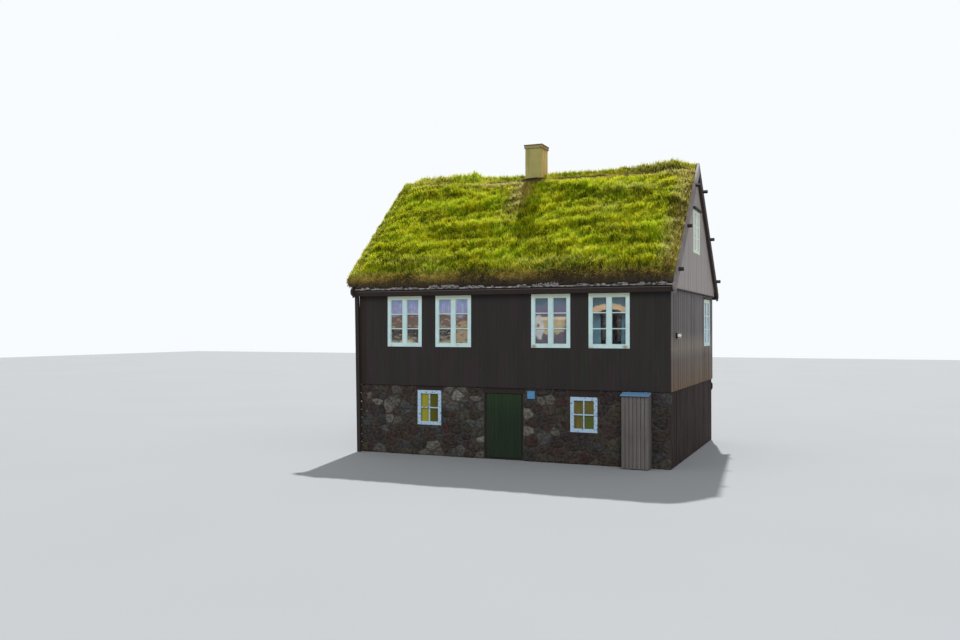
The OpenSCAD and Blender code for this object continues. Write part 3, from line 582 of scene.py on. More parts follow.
# On the rear wall, which the high lamp lights, greyer paint keeps clear of full white.
greyed = span(tree, along(tree, 1), 3.0, 3.2, 0.0, 0.8)
white = mix(tree, greyed, white, (158, 182, 184))
coat(tree, shader, white, mottle(tree, (0.01, 0.01, 0.2), 3), 0.0008)
clad(paint, "front_windows", "rear_windows", "gable_windows", "loft_windows", "basement_windows")

# Widths of a casing, of the post between the casements, of a sash and of a bar,
# how far the glass lies in, and the width of a casement's opening.
casing, post, sash, bar, glass_in = 0.095, 0.125, 0.015, 0.026, 0.014
pane_w = (win_w - 2 * casing - post) / 2


def window_bars(turn, distance, u, z, height):
    """Sashes and bars of a window: two uprights and two rails a casement round its
    opening, and a bar at each third of the opening's height."""
    tall, points = height - 2 * casing, []
    for side in (-1, 1):
        mid = u + side * (pane_w + post) / 2
        a, b, low, high = mid - pane_w / 2, mid + pane_w / 2, z + casing, z + casing + tall
        foot = 0.001 - glass_in
        points.append(bars(turn, distance, [a, b - sash], [a + sash, b], low, high, foot, 0.032))
        thirds = low + tall * np.array([1 / 3, 2 / 3]) - bar / 2
        rails, thick = np.array([low, high - sash, *thirds]), np.array([sash, sash, bar, bar])
        points.append(bars(turn, distance, rails, rails + thick, a + sash, b - sash, foot, 0.028, lying=True))
    return np.concatenate(points)


gable_places = [(90, half_l, gable_win_y, gable_win_z, win_h),
                (270, half_l, -gable_win_y, gable_win_z, win_h),
                (90, upper_l, 0.0, loft_z, loft_h), (270, upper_l, 0.0, loft_z, loft_h)]
for name, places in [("front_window_bars", [(0, half_w, x, win_z, win_h) for x in windows_x]),
                     ("rear_window_bars", [(180, half_w, -x, win_z, win_h) for x in windows_x]),
                     ("gable_window_bars", gable_places)]:
    points = np.concatenate([window_bars(*place) for place in places])
    piece(name, points, copies(points, bar_faces), paint, "white_paint")

# Window glass: thin old panes over dim rooms, with painted reflections in their colour.
# The left pair is bluish at the top and brown below, a painted reflection of the sky and
# of brown roofs; behind the right pair show pale things hung in the room, and the
# gables' casements have a second thin pane, let into their bars.
glass, tree, shader = start("old_glass", 0.06, 0.25)
height, east = along(tree, 2), along(tree, 0)


def spot(tree, middle, size, share=1.0, soft=0.06, shake=0.0):
    """A soft oval round a middle along x and z: share within it, and nothing outside.
    shake is added to the distance, so that its edge isn't even."""
    distance = reckon(tree, "ADD", oval(tree, middle, size), shake)
    return span(tree, distance, 1.0 - soft, 1.0, share, 0.0)


bent = reckon(tree, "ADD", height, blots(tree, (0.35, 0.35, 0.2), 2, 0.3, 0.7, -0.1, 0.1))
level = span(tree, bent, 3.15, 4.4)
stir = blots(tree, 0.2, 4, 0.3, 0.7, -0.16, 0.16, shift=(1, 4, 2))

# The left pair, a painted reflection, with a brown hill and folds in it.
warm = shades(tree, level, (0.0, 214, 200, 164), (0.1, 96, 86, 72), (0.18, 62, 56, 50), (0.32, 56, 50, 44),
              (0.38, 126, 100, 80), (0.63, 122, 94, 82), (0.68, 168, 168, 204), (1.0, 146, 164, 212))
folds = blots(tree, (0.14, 0.14, 0.06), 4, 0.54, 0.62, 0.0, 0.6, shift=(7, 3, 1))
warm = mix(tree, times(tree, folds, span(tree, height, 3.9, 3.95, 1.0, 0.2)), warm, (196, 180, 148))
strokes = blots(tree, (0.11, 0.11, 0.07), 4, 0.55, 0.61, 0.0, 0.75, shift=(5, 9, 2))
reflected_hill = mix(tree, strokes, (190, 166, 128), (92, 78, 64))
warm = mix(tree, spot(tree, (-1.2, 3.1), (0.5, 0.72), 0.85), warm, reflected_hill)
drawn = blots(tree, (0.035, 0.035, 0.3), 3, 0.5, 0.64, 0.0, 0.55, shift=(1, 2, 5))
warm = mix(tree, times(tree, drawn, span(tree, height, 3.96, 4.0)), warm, (206, 208, 232))
# The third window, with a pale bowl, a cloth and a dark corner on a grey ground that is a painted reflection.
grey = shades(tree, level, (0.0, 104, 92, 100), (0.5, 112, 100, 112), (0.72, 132, 118, 142),
              (0.82, 108, 128, 146), (1.0, 78, 108, 122))
bowl = spot(tree, (1.33, 3.88), (0.46, 0.5), 0.9, 0.1, stir)
bowl = times(tree, bowl, span(tree, height, 3.87, 3.90, 1.0, 0.0))
grey = mix(tree, bowl, grey, (214, 194, 148))
grey = mix(tree, times(tree, bowl, span(tree, height, 3.8, 3.83)), grey, (240, 220, 184))
grey = mix(tree, spot(tree, (0.98, 3.62), (0.15, 0.34), 0.8, 0.2, stir), grey, (226, 228, 224))
grey = mix(tree, spot(tree, (0.95, 3.66), (0.05, 0.06), 1.0, 0.4), grey, (196, 96, 96))
corner = times(tree, span(tree, east, 1.62, 1.72), span(tree, height, 3.6, 3.8, 0.8, 0.0))
grey = mix(tree, corner, grey, (66, 84, 92))

# The fourth window, with a pale arch before a dark room, whose dark is painted shade in the glass.
room = shades(tree, level, (0.0, 38, 30, 34), (0.7, 50, 36, 38), (0.86, 92, 118, 126), (1.0, 70, 92, 98))
bow = reckon(tree, "ADD", oval(tree, (2.93, 3.86), (0.62, 0.36)), times(tree, stir, 0.5))
arch = times(tree, span(tree, bow, 0.98, 1.06, 1.0, 0.0), span(tree, bow, 0.6, 0.68))
room = mix(tree, times(tree, arch, span(tree, height, 3.96, 4.0)), room, (236, 200, 158))
room = mix(tree, spot(tree, (2.83, 3.2), (0.04, 0.12), 1.0, 0.3), room, (170, 190, 204))

# All of them along the house, then the gables' and the lofts' panes.
image = mix(tree, span(tree, east, -0.1, 0.1), warm, mix(tree, span(tree, east, 2.0, 2.1), grey, room))
# Seen side on, the gables' panes are painted blue low down and dark higher up: a painted reflection.
side_on = mix(tree, span(tree, bent, 3.5, 3.8), (104, 136, 186), (66, 72, 88))
image = mix(tree, span(tree, reckon(tree, "ABSOLUTE", east), 4.3, 4.32), image, side_on)
image = mix(tree, span(tree, height, 5.0, 5.1), image, (196, 200, 214))
streaks = blots(tree, 0.12, 4, 0.35, 0.7, 0.0, 0.35, shift=(3, 8, 2))
coat(tree, shader, mix(tree, streaks, image, (120, 122, 134)))
# The panes let one see in a little, and the fourth window's lower ones much more.
see_in = times(tree, span(tree, east, 2.1, 2.15), span(tree, east, 4.0, 4.05, 1.0, 0.0))
see_in = times(tree, see_in, span(tree, height, 3.9, 4.0, 0.62, 0.1))
tree.links.new(reckon(tree, "SUBTRACT", 0.8, see_in), shader.inputs["Alpha"])
clad(glass, "main_glass", "loft_glass")
points = []
for turn, distance, u, z, height in gable_places:
    mid = u + np.array([-1, 1]) * (pane_w + post) / 2
    points.append(bars(turn, distance, mid - pane_w / 2 + sash, mid + pane_w / 2 - sash, z + casing + sash,
                       z + height - casing - sash, 0.008, 0.003, 0.001))
points = np.concatenate(points)
piece("gable_panes", points, copies(points, bar_faces), glass, "window_glass")

# Sheer curtains hang gathered inside the two right windows, one at the right side
# of the third and one at each side of the fourth, from painted laths on the wall
# behind the windows' heads.
curtain_y, curtain_head, curtain_foot, cloth_t = -3.22, 4.43, 3.12, 0.001
sheer, tree, shader = start("sheer_curtain", 0.9, 0.1)
coat(tree, shader, mix(tree, mottle(tree, (0.004, 0.004, 0.06)), (146, 204, 222), (186, 224, 234)),
     mottle(tree, 0.0012), 0.0004)
shader.inputs["Sheen Weight"].default_value = 0.2


def sheet_faces(rows, columns):
    """Faces of a thin sheet: a grid of points, the same grid again behind it, and the
    strip round their edges."""
    i, j = np.meshgrid(np.arange(rows - 1), np.arange(columns - 1), indexing="ij")
    c, n = (i * columns + j).ravel(), rows * columns
    face = np.stack([c, c + 1, c + columns + 1, c + columns], 1)
    down = np.arange(1, rows) * columns
    foot = n - 2 - np.arange(columns - 1)
    rim = np.concatenate([np.arange(columns), down + columns - 1, foot, down[-2::-1]])
    after = np.roll(rim, -1)
    return [np.concatenate([face, face[:, ::-1] + n, np.stack([after, rim, rim + n, after + n], 1)])]


def curtain(name, x0, x1):
    """A hung sheet: x runs from x0 to x1, and at the foot spreads by a sixth towards x1;
    out of its plane it is a sine wave, deepest at the foot."""
    p, q = np.meshgrid(np.linspace(0, 1, 97), np.linspace(0, 1, 25))
    tall = curtain_head - curtain_foot
    x = x0 + (x1 - x0) * p * (1 + q / 6)
    y = curtain_y + (0.012 + 0.01 * q) * np.sin(2 * math.pi * 7 * p + 0.6 * np.sin(9 * p) + 0.3 * q)
    front = np.stack([x, y, curtain_head - tall * q], -1)
    points = np.concatenate([front.reshape(-1, 3), front.reshape(-1, 3) + [0, cloth_t, 0]])
    made = piece(name, points, sheet_faces(*p.shape), sheer, None, smooth=True)


hung = [("left_curtain", 1.80, 1.66), ("middle_curtain", 2.40, 2.60), ("right_curtain", 3.40, 3.20)]
ends = np.array([sorted(e) for _, *e in hung]) + [-0.03, 0.03]
points = bars(0, 3.2, curtain_head, 4.452, ends[:, 0], ends[:, 1], 0.0, 0.0718, lying=True)
piece("curtain_laths", points, copies(points, bar_faces), paint, "white_paint")
for name, x0, x1 in hung:
    curtain(name, x0, x1)

# The basement panes have blinds behind them: a bright yellow one at the left, and a
# faded one at the right with a patch of green at its foot.
blind, tree, shader = start("blind_glass", 0.1, 0.2)
east = along(tree, 0)
left_side = shades(tree, span(tree, east, -2.58, -2.03), (0.0, 96, 98, 40), (0.1, 158, 152, 44),
                   (0.42, 146, 142, 38), (0.5, 92, 90, 6), (0.9, 78, 74, 4), (1.0, 64, 62, 20))
right_side = mix(tree, blots(tree, (0.08, 0.08, 0.5), 3, 0.4, 0.65), (112, 98, 40), (88, 84, 40))
patch = times(tree, span(tree, east, 2.2, 2.22), span(tree, along(tree, 2), 1.3, 1.34, 0.8, 0.0))
right_side = mix(tree, patch, right_side, (78, 92, 34))
coat(tree, shader, mix(tree, span(tree, east, -0.1, 0.1), left_side, right_side))
clad(blind, "basement_glass")

# The roof: boards, a layer of birch bark and two layers of cut turf with the
# grass alive on it. The turf has slipped into steps, and is thickest at the
# eaves, where its brow is dry.

# The eave's and the verge's distance from the middle, the slope's and its brow's
# length, the gap between pieces, the bark's thickness and where it starts, and the
# batten's size and places across.
rise, run, steep = math.sin(slope), math.cos(slope), math.tan(slope)
eave, verge = 3.6, 4.61
slope_l, brow_l, seat, bark_t = eave / run + 0.04, 0.62, 0.0003, 0.024
bark_in, batten, flat_top = eave - 0.18, 0.07, 0.05 / run
battens_u = [0.64, 1.9711, 3.25]
notch_x, notches = (-0.546, -0.014), [0.336, 0.276]
draw = np.random.default_rng(13)

# Mounds: their middle along the house as a share of its half length and down
# the slope, their spread along and down, and their height.
mounds = np.array([
    [-0.73, 0.43, 1.0, 0.42, 0.075], [-0.0622, 0.33, 0.42, 0.42, 0.05], [0.35, 0.9, 1.05, 0.33, 0.045],
    [0.7, 1.35, 0.52, 0.3, 0.045], [0.93, 1.75, 0.38, 0.3, 0.045], [-0.4, 1.56, 0.9, 0.3, 0.045],
    [-0.3, 2.75, 1.2, 0.32, 0.045], [-0.62, 3.7, 0.8, 0.33, 0.04], [0.45, 2.5, 0.7, 0.3, 0.04],
    [0.6, 3.5, 0.9, 0.33, 0.045]])

# Steps: each line's ends, along the house and down the slope, and its height.
ledges = np.array([
    [-4.6, 1.02, -2.9, 0.80, 0.06], [-2.9, 0.80, -1.0, 1.55, 0.08], [-3.0, 1.70, -0.9, 1.60, 0.05],
    [-3.6, 2.74, -0.5, 2.86, 0.07], [-4.4, 3.72, -1.0, 3.68, 0.06], [-4.4, 4.28, -0.4, 4.30, 0.05],
    [0.2, 0.76, 2.8, 1.38, 0.10], [2.8, 1.42, 3.7, 1.44, 0.08], [3.5, 1.86, 4.5, 1.92, 0.09],
    [0.1, 2.05, 1.7, 2.30, 0.05], [0.4, 2.95, 2.6, 2.75, 0.06], [2.3, 3.30, 4.3, 3.15, 0.06],
    [-0.2, 3.75, 2.0, 3.85, 0.05], [1.8, 4.30, 4.4, 4.20, 0.05]])


def waves(count, short, long, height, draw):
    """Random sine waves: for each its two wave numbers, phase and height."""
    number, heading = 2 * math.pi / draw.uniform(short, long, count), draw.uniform(0, math.pi, count)
    phase, high = draw.uniform(0, 6.3, count), height * number.min() / number
    return np.stack([number * np.cos(heading), number * np.sin(heading), phase, high], 1)


def lie(x, s, table):
    """Sum of sine waves at x along the house and s down the slope."""
    return sum(h * np.sin(a * x + b * s + p) for a, b, p, h in table)


lumps = waves(18, 0.15, 0.5, 0.010, draw)
patches, broad = waves(18, 0.10, 0.35, 0.055, draw), waves(9, 0.6, 2.0, 0.085, draw)
ragged = waves(10, 0.1, 0.7, 0.02, draw)


def along_ledges(x, s, profile):
    """Sum, over the steps, of a profile of the distance below the step's wavy line,
    faded over the line's last third of a metre."""
    total = 0 * x
    for x0, s0, x1, s1, height in ledges:
        line = s0 + (x - x0) / (x1 - x0) * (s1 - s0)
        line = line + 0.05 * np.sin(6.1 * x + 3 * s0) + 0.03 * np.sin(15.7 * x + 9 * s0)
        near = np.clip((x - x0 + 0.15) / 0.35, 0, 1) * np.clip((x1 + 0.15 - x) / 0.35, 0, 1)
        total = total + height * near * profile(s - line)
    return total


def step(q):
    """A step's height: it rises over half a metre to its line and falls within 0.17 m."""
    share = np.clip(np.minimum(1 + q / 0.5, 1 - q / 0.17), 0, 1)
    return share**2 * (3 - 2 * share)


def step_light_and_shade(q):
    """Painted light on a step's edge, where the grass is longer, and painted shade on the thin grass below
    it.
    """
    return 1.4 * np.exp(-((q + 0.05) / 0.13) ** 2) - 1.5 * np.exp(-((q - 0.24) / 0.16) ** 2)


def swell(x, s):
    """The slow swells of the turf, three sine waves of up to 16 mm."""
    return (0.016 * np.sin(np.radians(110 * x + 50 * s)) + 0.012 * np.sin(np.radians(230 * x - 170 * s + 40))
            + 0.009 * np.sin(np.radians(41 * x + 310 * s)))


def verge_share(x):
    """Falls from 1 to 0 as a quarter circle over the last half metre to a gable."""
    return np.sqrt(1 - np.clip(1 - (verge - np.abs(x)) / 0.52, 0, 1) ** 2)


def turf_depth(x, s, side):
    """Turf depth square to the boards: a power of the way down, plus swells, mounds,
    steps and lumps, times the verge's rounding and the brow's, a cubic circle."""
    q = np.clip((s - slope_l + brow_l) / brow_l, 0, 1)
    full = 0.05 + 0.34 * (np.maximum(s, 0) / slope_l) ** 0.35
    base = np.minimum(full, 0.108) * 0.98
    heaps = sum(h * np.exp(-((x - m * half_l) / a) ** 2 - ((s - b) / c) ** 2) for m, b, a, c, h in mounds)
    ease, free = np.clip((s - 0.66) / 0.5, 0, 1), np.clip((s - 0.42) / 0.2, 0, 1)
    steps = 0.3 * along_ledges(-x * side, s, step)
    rough = swell(x, s) * ease + heaps + free * (lie(x, s * side, lumps) + steps)
    return (base + (full - base + rough) * verge_share(x)) * (1 - q**3) ** (1 / 3)


def turf_surface(x, s, side):
    """Points of the turf's surface, side -1 in front and 1 behind."""
    t = turf_depth(x, s, side)
    return np.stack(np.broadcast_arrays(x, side * (s * run + t * rise), ridge_z - s * rise + t * run), -1)


def turf_block(x0, x1, start_u, side):
    """A length of turf: at each place along the house, the underside over the bark, the
    battens and the boards up to start_u, a flat bed for the ridge's turf, a torn lip,
    then the surface down to the brow. Returns points and how far down each is."""
    places = np.linspace(x0, x1, max(2, round((x1 - x0) / 0.05) + 1))
    flat, wide = slope_l - brow_l, len(places)
    over_brow = np.sin(np.linspace(0, math.pi / 2, 16))[:-1]
    down = np.concatenate([np.linspace(0.429, flat, 80)[:-1], flat + brow_l * over_brow])
    under = [(slope_l, bark_t + seat), (bark_in / run, bark_t + seat), (bark_in / run, seat)]
    for u in battens_u[::-1]:
        s, h = u / run, batten / 2 + seat
        under += [(s + h, seat), (s + h, batten + 2 * seat), (s - h, batten + 2 * seat), (s - h, seat)]
    under = np.array([*under, ((start_u - seat * rise) / run, seat)])
    low_y, low_z = under[:, 0] * run + under[:, 1] * rise, ridge_z - under[:, 0] * rise + under[:, 1] * run
    lip = 0.346 + 0.5 * np.maximum(lie(places, 0.0, ragged), 0)
    lip_high = turf_depth(places, np.full(wide, 0.33 / run), side) / run
    bed_u = np.stack([np.full(wide, start_u), np.full(wide, max(0.333, start_u + 0.002)), lip], 1)
    bed_z = ridge_z - bed_u * steep + np.stack([np.full(wide, flat_top)] * 2 + [lip_high], 1)
    foot, bed = (np.stack(np.broadcast_arrays(places[:, None], side * y, z), -1)
                 for y, z in ((low_y, low_z), (bed_u, bed_z)))
    x, s = np.meshgrid(places, down, indexing="ij")
    deep = np.concatenate([np.full(foot.shape[:2], 9.0), np.full(bed.shape[:2], 0.4), s], 1)
    return np.concatenate([foot, bed, turf_surface(x, s, side)], 1), deep


turf, tree, shader = start("turf", 1.0, 0.0)
shader.inputs["Subsurface Weight"].default_value = 0.7
shader.inputs["Subsurface Radius"].default_value = (1.0, 1.0, 0.35)
shader.inputs["Subsurface Scale"].default_value = 0.02
tone = reckon(tree, "ADD", mark(tree, "tone"), blots(tree, 0.03, 3, 0.25, 0.75, -0.13, 0.13, shift=(2, 2, 8)))
living = shades(tree, tone, (0.0, 61, 69, 16), (0.3, 102, 115, 12), (0.5, 139, 155, 10), (0.7, 167, 182, 8),
                (0.88, 188, 200, 8), (1.0, 208, 212, 20))
hue = mottle(tree, (0.7, 0.5, 0.5), 4, (4, 4, 1))
living = mix(tree, span(tree, hue, 0.50, 0.62, 0.0, 0.9), living, (214, 246, 200), "MULTIPLY")
living = mix(tree, span(tree, hue, 0.36, 0.48, 0.9, 0.0), living, (255, 236, 150), "MULTIPLY")
dead = shades(tree, tone, (0.0, 62, 51, 34), (0.45, 140, 115, 55), (0.75, 172, 146, 54),
              (1.0, 208, 185, 98))
grown = mix(tree, mark(tree, "dry"), living, dead)
# Under the brow the turf turns dark earth brown: partly its own colour, partly painted shade under the
# overhang.
under_brow = span(tree, along(tree, 2), 4.84, 5.02, 0.9, 0.0)
coat(tree, shader, mix(tree, under_brow, grown, (68, 60, 52)), mottle(tree, 0.02, 5), 0.012)


def patch_tone(x, s, side):
    """How bright the grass is at a place: sine patches, with painted light on lumps and on step edges and
    painted shade below the steps.
    """
    return (0.46 + lie(x, s * side, patches) + lie(x, s * side, broad) + 1.5 * lie(x, s * side, lumps)
            + 0.65 * along_ledges(-x * side, s, step_light_and_shade))


# Dry places: their middle along the house and down the slope, their spread
# along and down, and how dry they are. The eighth follows the chimney's cast shadow
# down the front slope: its brown is painted shadow as well as dead grass.
dry_spots = np.array([[4.0, 0.5, 0.45, 0.16, 0.9], [-1.3, 0.5, 0.75, 0.2, 1.0], [-3.6, 0.42, 0.8, 0.2, 0.45],
                      [3.1, 1.3, 0.9, 0.2, 0.35], [0.4, 0.55, 0.5, 0.15, 0.3], [-2.9, 4.4, 1.0, 0.12, 0.4],
                      [1.6, 4.5, 1.6, 0.12, 0.4], [-0.42, 1.2, 0.3, 1.0, 1.0], [2.4, 2.2, 0.5, 0.3, 0.25]])


def dryness(x, s, side):
    """From 0 where the grass grows to 1 where it is dead: under the brow, along the
    right verge and at the dry places, which the rear has the other way round."""
    brow = np.clip((s - slope_l + 0.40) / 0.28, 0, 1)
    edge = 0.75 * np.clip((x - 4.05) / 0.4, 0, 1) + 0.3 * np.clip((-x - 4.35) / 0.25, 0, 1)
    spots = sum(h * np.exp(-((-x * side - m) / a) ** 2 - ((s - b) / c) ** 2) for m, b, a, c, h in dry_spots)
    return np.clip(np.maximum(brow, edge + spots), 0, 1)


def bareness(x, s):
    """One along the torn lip under the ridge's strip, where no grass grows, fading
    to 0 a quarter of a metre down: beside the chimney, not at the gables."""
    along_x = np.clip((x + 2.1) / 0.3, 0, 1) * np.clip((3.9 - x) / 0.5, 0, 1)
    return along_x * np.clip((0.66 - s) / 0.16, 0, 1)


def turf_skin(name, blocks):
    """One piece from closed blocks, each of rings of points, tones and dryness, shown in
    place of the CAD's node of that name."""
    walls, ends, first = [], [], 0
    for rings, *_ in blocks:
        wall, end = skin(*rings.shape[:2])
        walls.append(wall + first)
        ends.append(end + first)
        first += rings.shape[0] * rings.shape[1]
    points = np.concatenate([rings.reshape(-1, 3) for rings, *_ in blocks])
    tones, dries = (np.concatenate([block[k].ravel() for block in blocks]) for k in (1, 2))
    made = piece(name + "_mass", points, [np.concatenate(walls), *ends], turf, "turf", smooth=True,
                 tone=tones, dry=dries)
    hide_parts(name)


for (name, side), notch in zip(both_sides, notches):
    blocks = []
    for x0, x1, start_u in [(-verge, notch_x[0], 0.0), (*notch_x, notch), (notch_x[1], verge, 0.0)]:
        rings, deep = turf_block(x0, x1, start_u, side)
        x, place = rings[..., 0], np.minimum(deep, slope_l)
        torn = bareness(-x * side, place)
        dries = np.maximum(dryness(x, place, side), np.maximum(0.9 * torn, deep > 8))
        # Painted shade: the mass is written darker than its grass, as shade between the blades, and darker
        # still along the torn lip under the ridge's strip.
        blocks.append((rings, patch_tone(x, place, side) - 0.3 - 0.25 * torn, dries))
    turf_skin(name + "_turf", blocks)

# The ridge's strip of turf is laid last, over both slopes' tops. How thick it is,
# as shares of 0.12 m, by the place along the house as a share of its half length.
humps = np.array([
    [-1.03, 0.3], [-0.98, 0.8], [-0.94, 1.35], [-0.8, 1.5], [-0.62, 1.6], [-0.51, 1.85], [-0.45, 0.8],
    [-0.2, 0.4], [0.02, 0.3], [0.09, 0.5], [0.4, 0.42], [0.65, 0.85], [0.87, 1.6], [0.94, 1.1],
    [0.985, 0.35], [1.03, 0.3]])


def ridge_surface(x, a):
    """Points of the ridge turf's surface: across it a flattened half round, a from 0 to
    180 degrees, on the two slopes, thick and thin by turns along the house."""
    y = 0.322 * np.cos(a) + 0.3 * lie(x, 3.0, ragged) * np.cos(a) ** 3
    thick = 0.12 * np.interp(x / half_l, *humps.T) + 0.6 * lie(x, y, lumps)
    z = ridge_z - np.abs(y) * steep + flat_top + seat + np.maximum(thick, 0.035) * np.abs(np.sin(a)) ** 0.35
    return np.stack(np.broadcast_arrays(x, y, z), -1)


blocks = []
for x0, x1 in [(-verge, notch_x[0]), (notch_x[1], verge)]:
    places, a = np.linspace(x0, x1, round((x1 - x0) / 0.05)), np.radians(np.linspace(171, 9, 24))
    x, a = np.meshgrid(places, a, indexing="ij")
    y = np.array([0.33, 0.0, -0.33])
    foot_z = ridge_z - np.abs(y) * steep + flat_top + seat
    foot = np.stack(np.broadcast_arrays(places[:, None], y, foot_z), -1)
    rings = np.concatenate([foot, ridge_surface(x, a)], 1)
    low = np.abs(rings[..., 1]) > 0.29
    # Painted shade: the strip's mass is darker than its grass, as between the blades, and darker and browner
    # at its low edges, where it overhangs the slopes.
    tones = patch_tone(rings[..., 0], rings[..., 1], 1) - 0.2 - 0.4 * low
    blocks.append((rings, tones, np.clip(0.2 + 0.8 * low, 0, 1)))
turf_skin("ridge_turf", blocks)

# At the left gable the turf has grown out over the bargeboards and hangs there
# as a soft roll.


def verge_roll(s, a, side):
    """Points of the roll: round it a from 0 to 360 degrees, an ellipse across the slope that
    widens down the slope, with sine lumps, closed to a point at both ends."""
    q = s / slope_l
    shut = np.sqrt(np.clip(np.minimum(s - 0.05, slope_l + 0.02 - s) / 0.2, 0, 1))
    wide = (0.13 + 0.11 * q + 0.5 * lie(s, 2.0 * side + 0.3 * a, ragged)) * (0.15 + 0.85 * shut)
    high = (0.085 + 0.03 * q + 0.25 * lie(s, 5.0 * side + 0.4 * a, ragged)) * (0.12 + 0.88 * shut)
    x = -4.585 - 0.02 * q + wide * np.cos(a)
    t = 0.116 + high * (1 + np.sin(a)) - 0.03 * np.maximum(-np.cos(a), 0) * q * (a < math.pi)
    return np.stack(np.broadcast_arrays(x, side * (s * run + t * rise), ridge_z - s * rise + t * run), -1)


for name, side in both_sides:
    s, a = np.linspace(0.05, slope_l + 0.02, 100), np.radians(np.arange(0, 360, 18))
    s, a = np.meshgrid(s, a, indexing="ij")
    points = verge_roll(s, a, side)
    # Painted shade: the roll's mass is written darker than its grass, as between the blades.
    tones = patch_tone(points[..., 0], s, side) - 0.3
    dries = np.maximum(0.3, dryness(points[..., 0], s, side))
    piece(name + "_verge_roll", points.reshape(-1, 3), skin(*points.shape[:2]), turf, "turf", smooth=True,
          tone=tones.ravel(), dry=dries.ravel())

# The grass: blades that grow out of the turf in tufts, long on the steps' edges,
# short where it is bare, and hanging over the brow at the eaves.


def grass(name, root, normal, length, tones, dries, draw, lean=0.0, hang=0.0):
    """Blades of grass: three-sided spikes, wide one way and thin the other, rooted under
    the surface and leaning between its normal and straight up, or down where they hang,
    with painted shade at the root and painted light at the tip."""
    count = len(root)
    up = np.array([0, 0, 1.0]) * (1 - 2 * np.broadcast_to(hang, count)[:, None])
    way = 0.35 * normal + 0.9 * up + lean + draw.normal(0, 0.16, (count, 3))
    way /= np.linalg.norm(way, axis=1)[:, None]
    flat = np.cross(way, draw.normal(0, 1, (count, 3)))
    flat /= np.linalg.norm(flat, axis=1)[:, None]
    thin = np.cross(way, flat)
    wide = draw.uniform(0.008, 0.018, (count, 1))
    foot = root - 0.02 * normal
    turn = np.radians([90, 210, 330])
    base = (foot[:, None] + (wide * flat)[:, None] * np.cos(turn)[:, None]
            + (0.45 * wide * thin)[:, None] * np.sin(turn)[:, None])
    points = np.concatenate([base, (foot + way * (length[:, None] + 0.02))[:, None]], 1)
    spike = [np.array([[0, 1, 3], [1, 2, 3], [2, 0, 3], [0, 2, 1]])]
    # Painted shade at each blade's root and painted light at its tip.
    shade = np.stack([tones - 0.3] * 3 + [tones + 0.22], 1)
    return piece(name, points, copies(points, spike), turf, "turf",
                 tone=shade.ravel(), dry=np.repeat(dries, 4))


def normals(surface, x, s, *more):
    """Outward normals of a surface, from two short steps on it."""
    at = surface(x, s, *more)
    n = np.cross(surface(x + 0.004, s, *more) - at, surface(x, s + 0.004, *more) - at)
    n *= np.sign(n[:, 2:]) + (n[:, 2:] == 0)
    return at, n / np.linalg.norm(n, axis=1)[:, None]


def tufts(count, blades, x0, x1, s0, s1, draw):
    """Places of blades that stand in tufts, and how each leans away from its tuft's middle."""
    middle = np.stack([draw.uniform(x0, x1, count), draw.uniform(s0, s1, count)], 1)
    off = draw.normal(0, 0.045, (count, blades, 2))
    place = (middle[:, None] + off).reshape(-1, 2)
    off = off.reshape(-1, 2)
    x, s = np.clip(place[:, 0], x0, x1), np.clip(place[:, 1], s0, s1)
    size = np.repeat(draw.uniform(0.6, 1.0, count) ** 1.5, blades)
    shade = np.repeat(draw.normal(0, 0.13, count), blades)
    return x, s, off, size, shade


def clear_of_chimney(x, across=0.0, reach=1.0):
    """Which places lie clear of the chimney's notch, which reaches so far across."""
    return (x <= notch_x[0] - 0.02) | (x >= notch_x[1] + 0.02) | (across >= reach)


# How near a place is to a step's edge: a bell with its middle just above the line.
step_edge = lambda q: np.exp(-((q + 0.03) / 0.1) ** 2)
for (name, side), notch, count in zip(both_sides, notches, (4250, 2550)):
    for half, (x0, x1) in [("left", (-verge + 0.02, 0.0)), ("right", (0.0, verge - 0.02))]:
        x, s, off, size, shade = tufts(count, 10, x0, x1, 0.40, slope_l - 0.03, draw)
        clear = clear_of_chimney(x, s * run, reach=notch + 0.08)
        x, s, off, size, shade = (v[clear] for v in (x, s, off, size, shade))
        root, normal = normals(turf_surface, x, s, side)
        lean = np.stack([off[:, 0], side * off[:, 1] * run, -off[:, 1] * rise], 1) * 5
        torn = bareness(-x * side, s)
        dries = np.clip(dryness(x, s, side) + draw.normal(0.04, 0.1, len(x)), 0, 1)
        # Painted shade darkens the grass along the torn lip under the ridge's strip.
        tones = patch_tone(x, s, side) + shade + draw.normal(0, 0.22, len(x)) - 0.35 * torn
        # Blades that hang over the brow are written brighter: painted light against the shade they hang in.
        brow = np.clip((s - slope_l + 0.35) / 0.3, 0, 1)
        tones += 0.3 * brow
        length = (0.05 + 0.13 * size * draw.uniform(0.4, 1, len(x))) * (1 - 0.45 * brow)
        length *= 1 + 0.9 * np.clip(along_ledges(-x * side, s, step_edge) * 8, 0, 0.6)
        length *= 1 - 0.75 * torn
        grass(f"{name}_{half}_grass", root, normal, length, tones, dries, draw, lean, 0.75 * brow)

# Roots hang from the torn lip under the ridge's strip: short, dry and dense, and
# pale towards the right gable.
for (name, side), notch in zip(both_sides, notches):
    x, s = draw.uniform(-2.4, 4.0, 5200) * -side, draw.uniform(0.405, 0.56, 5200)
    clear = clear_of_chimney(x, s * run, reach=notch + 0.03)
    x, s = x[clear], s[clear]
    root, normal = normals(turf_surface, x, s, side)
    pale_roots = np.clip((x * side - 0.5) / 0.3, 0, 1)
    tones = 0.12 + 0.8 * pale_roots + draw.normal(0, 0.13, len(x))
    length = draw.uniform(0.02, 0.06, len(x)) * (1 + pale_roots)
    grass(name + "_lip_roots", root, normal, length, tones, np.full(len(x), 0.9), draw, hang=0.62)

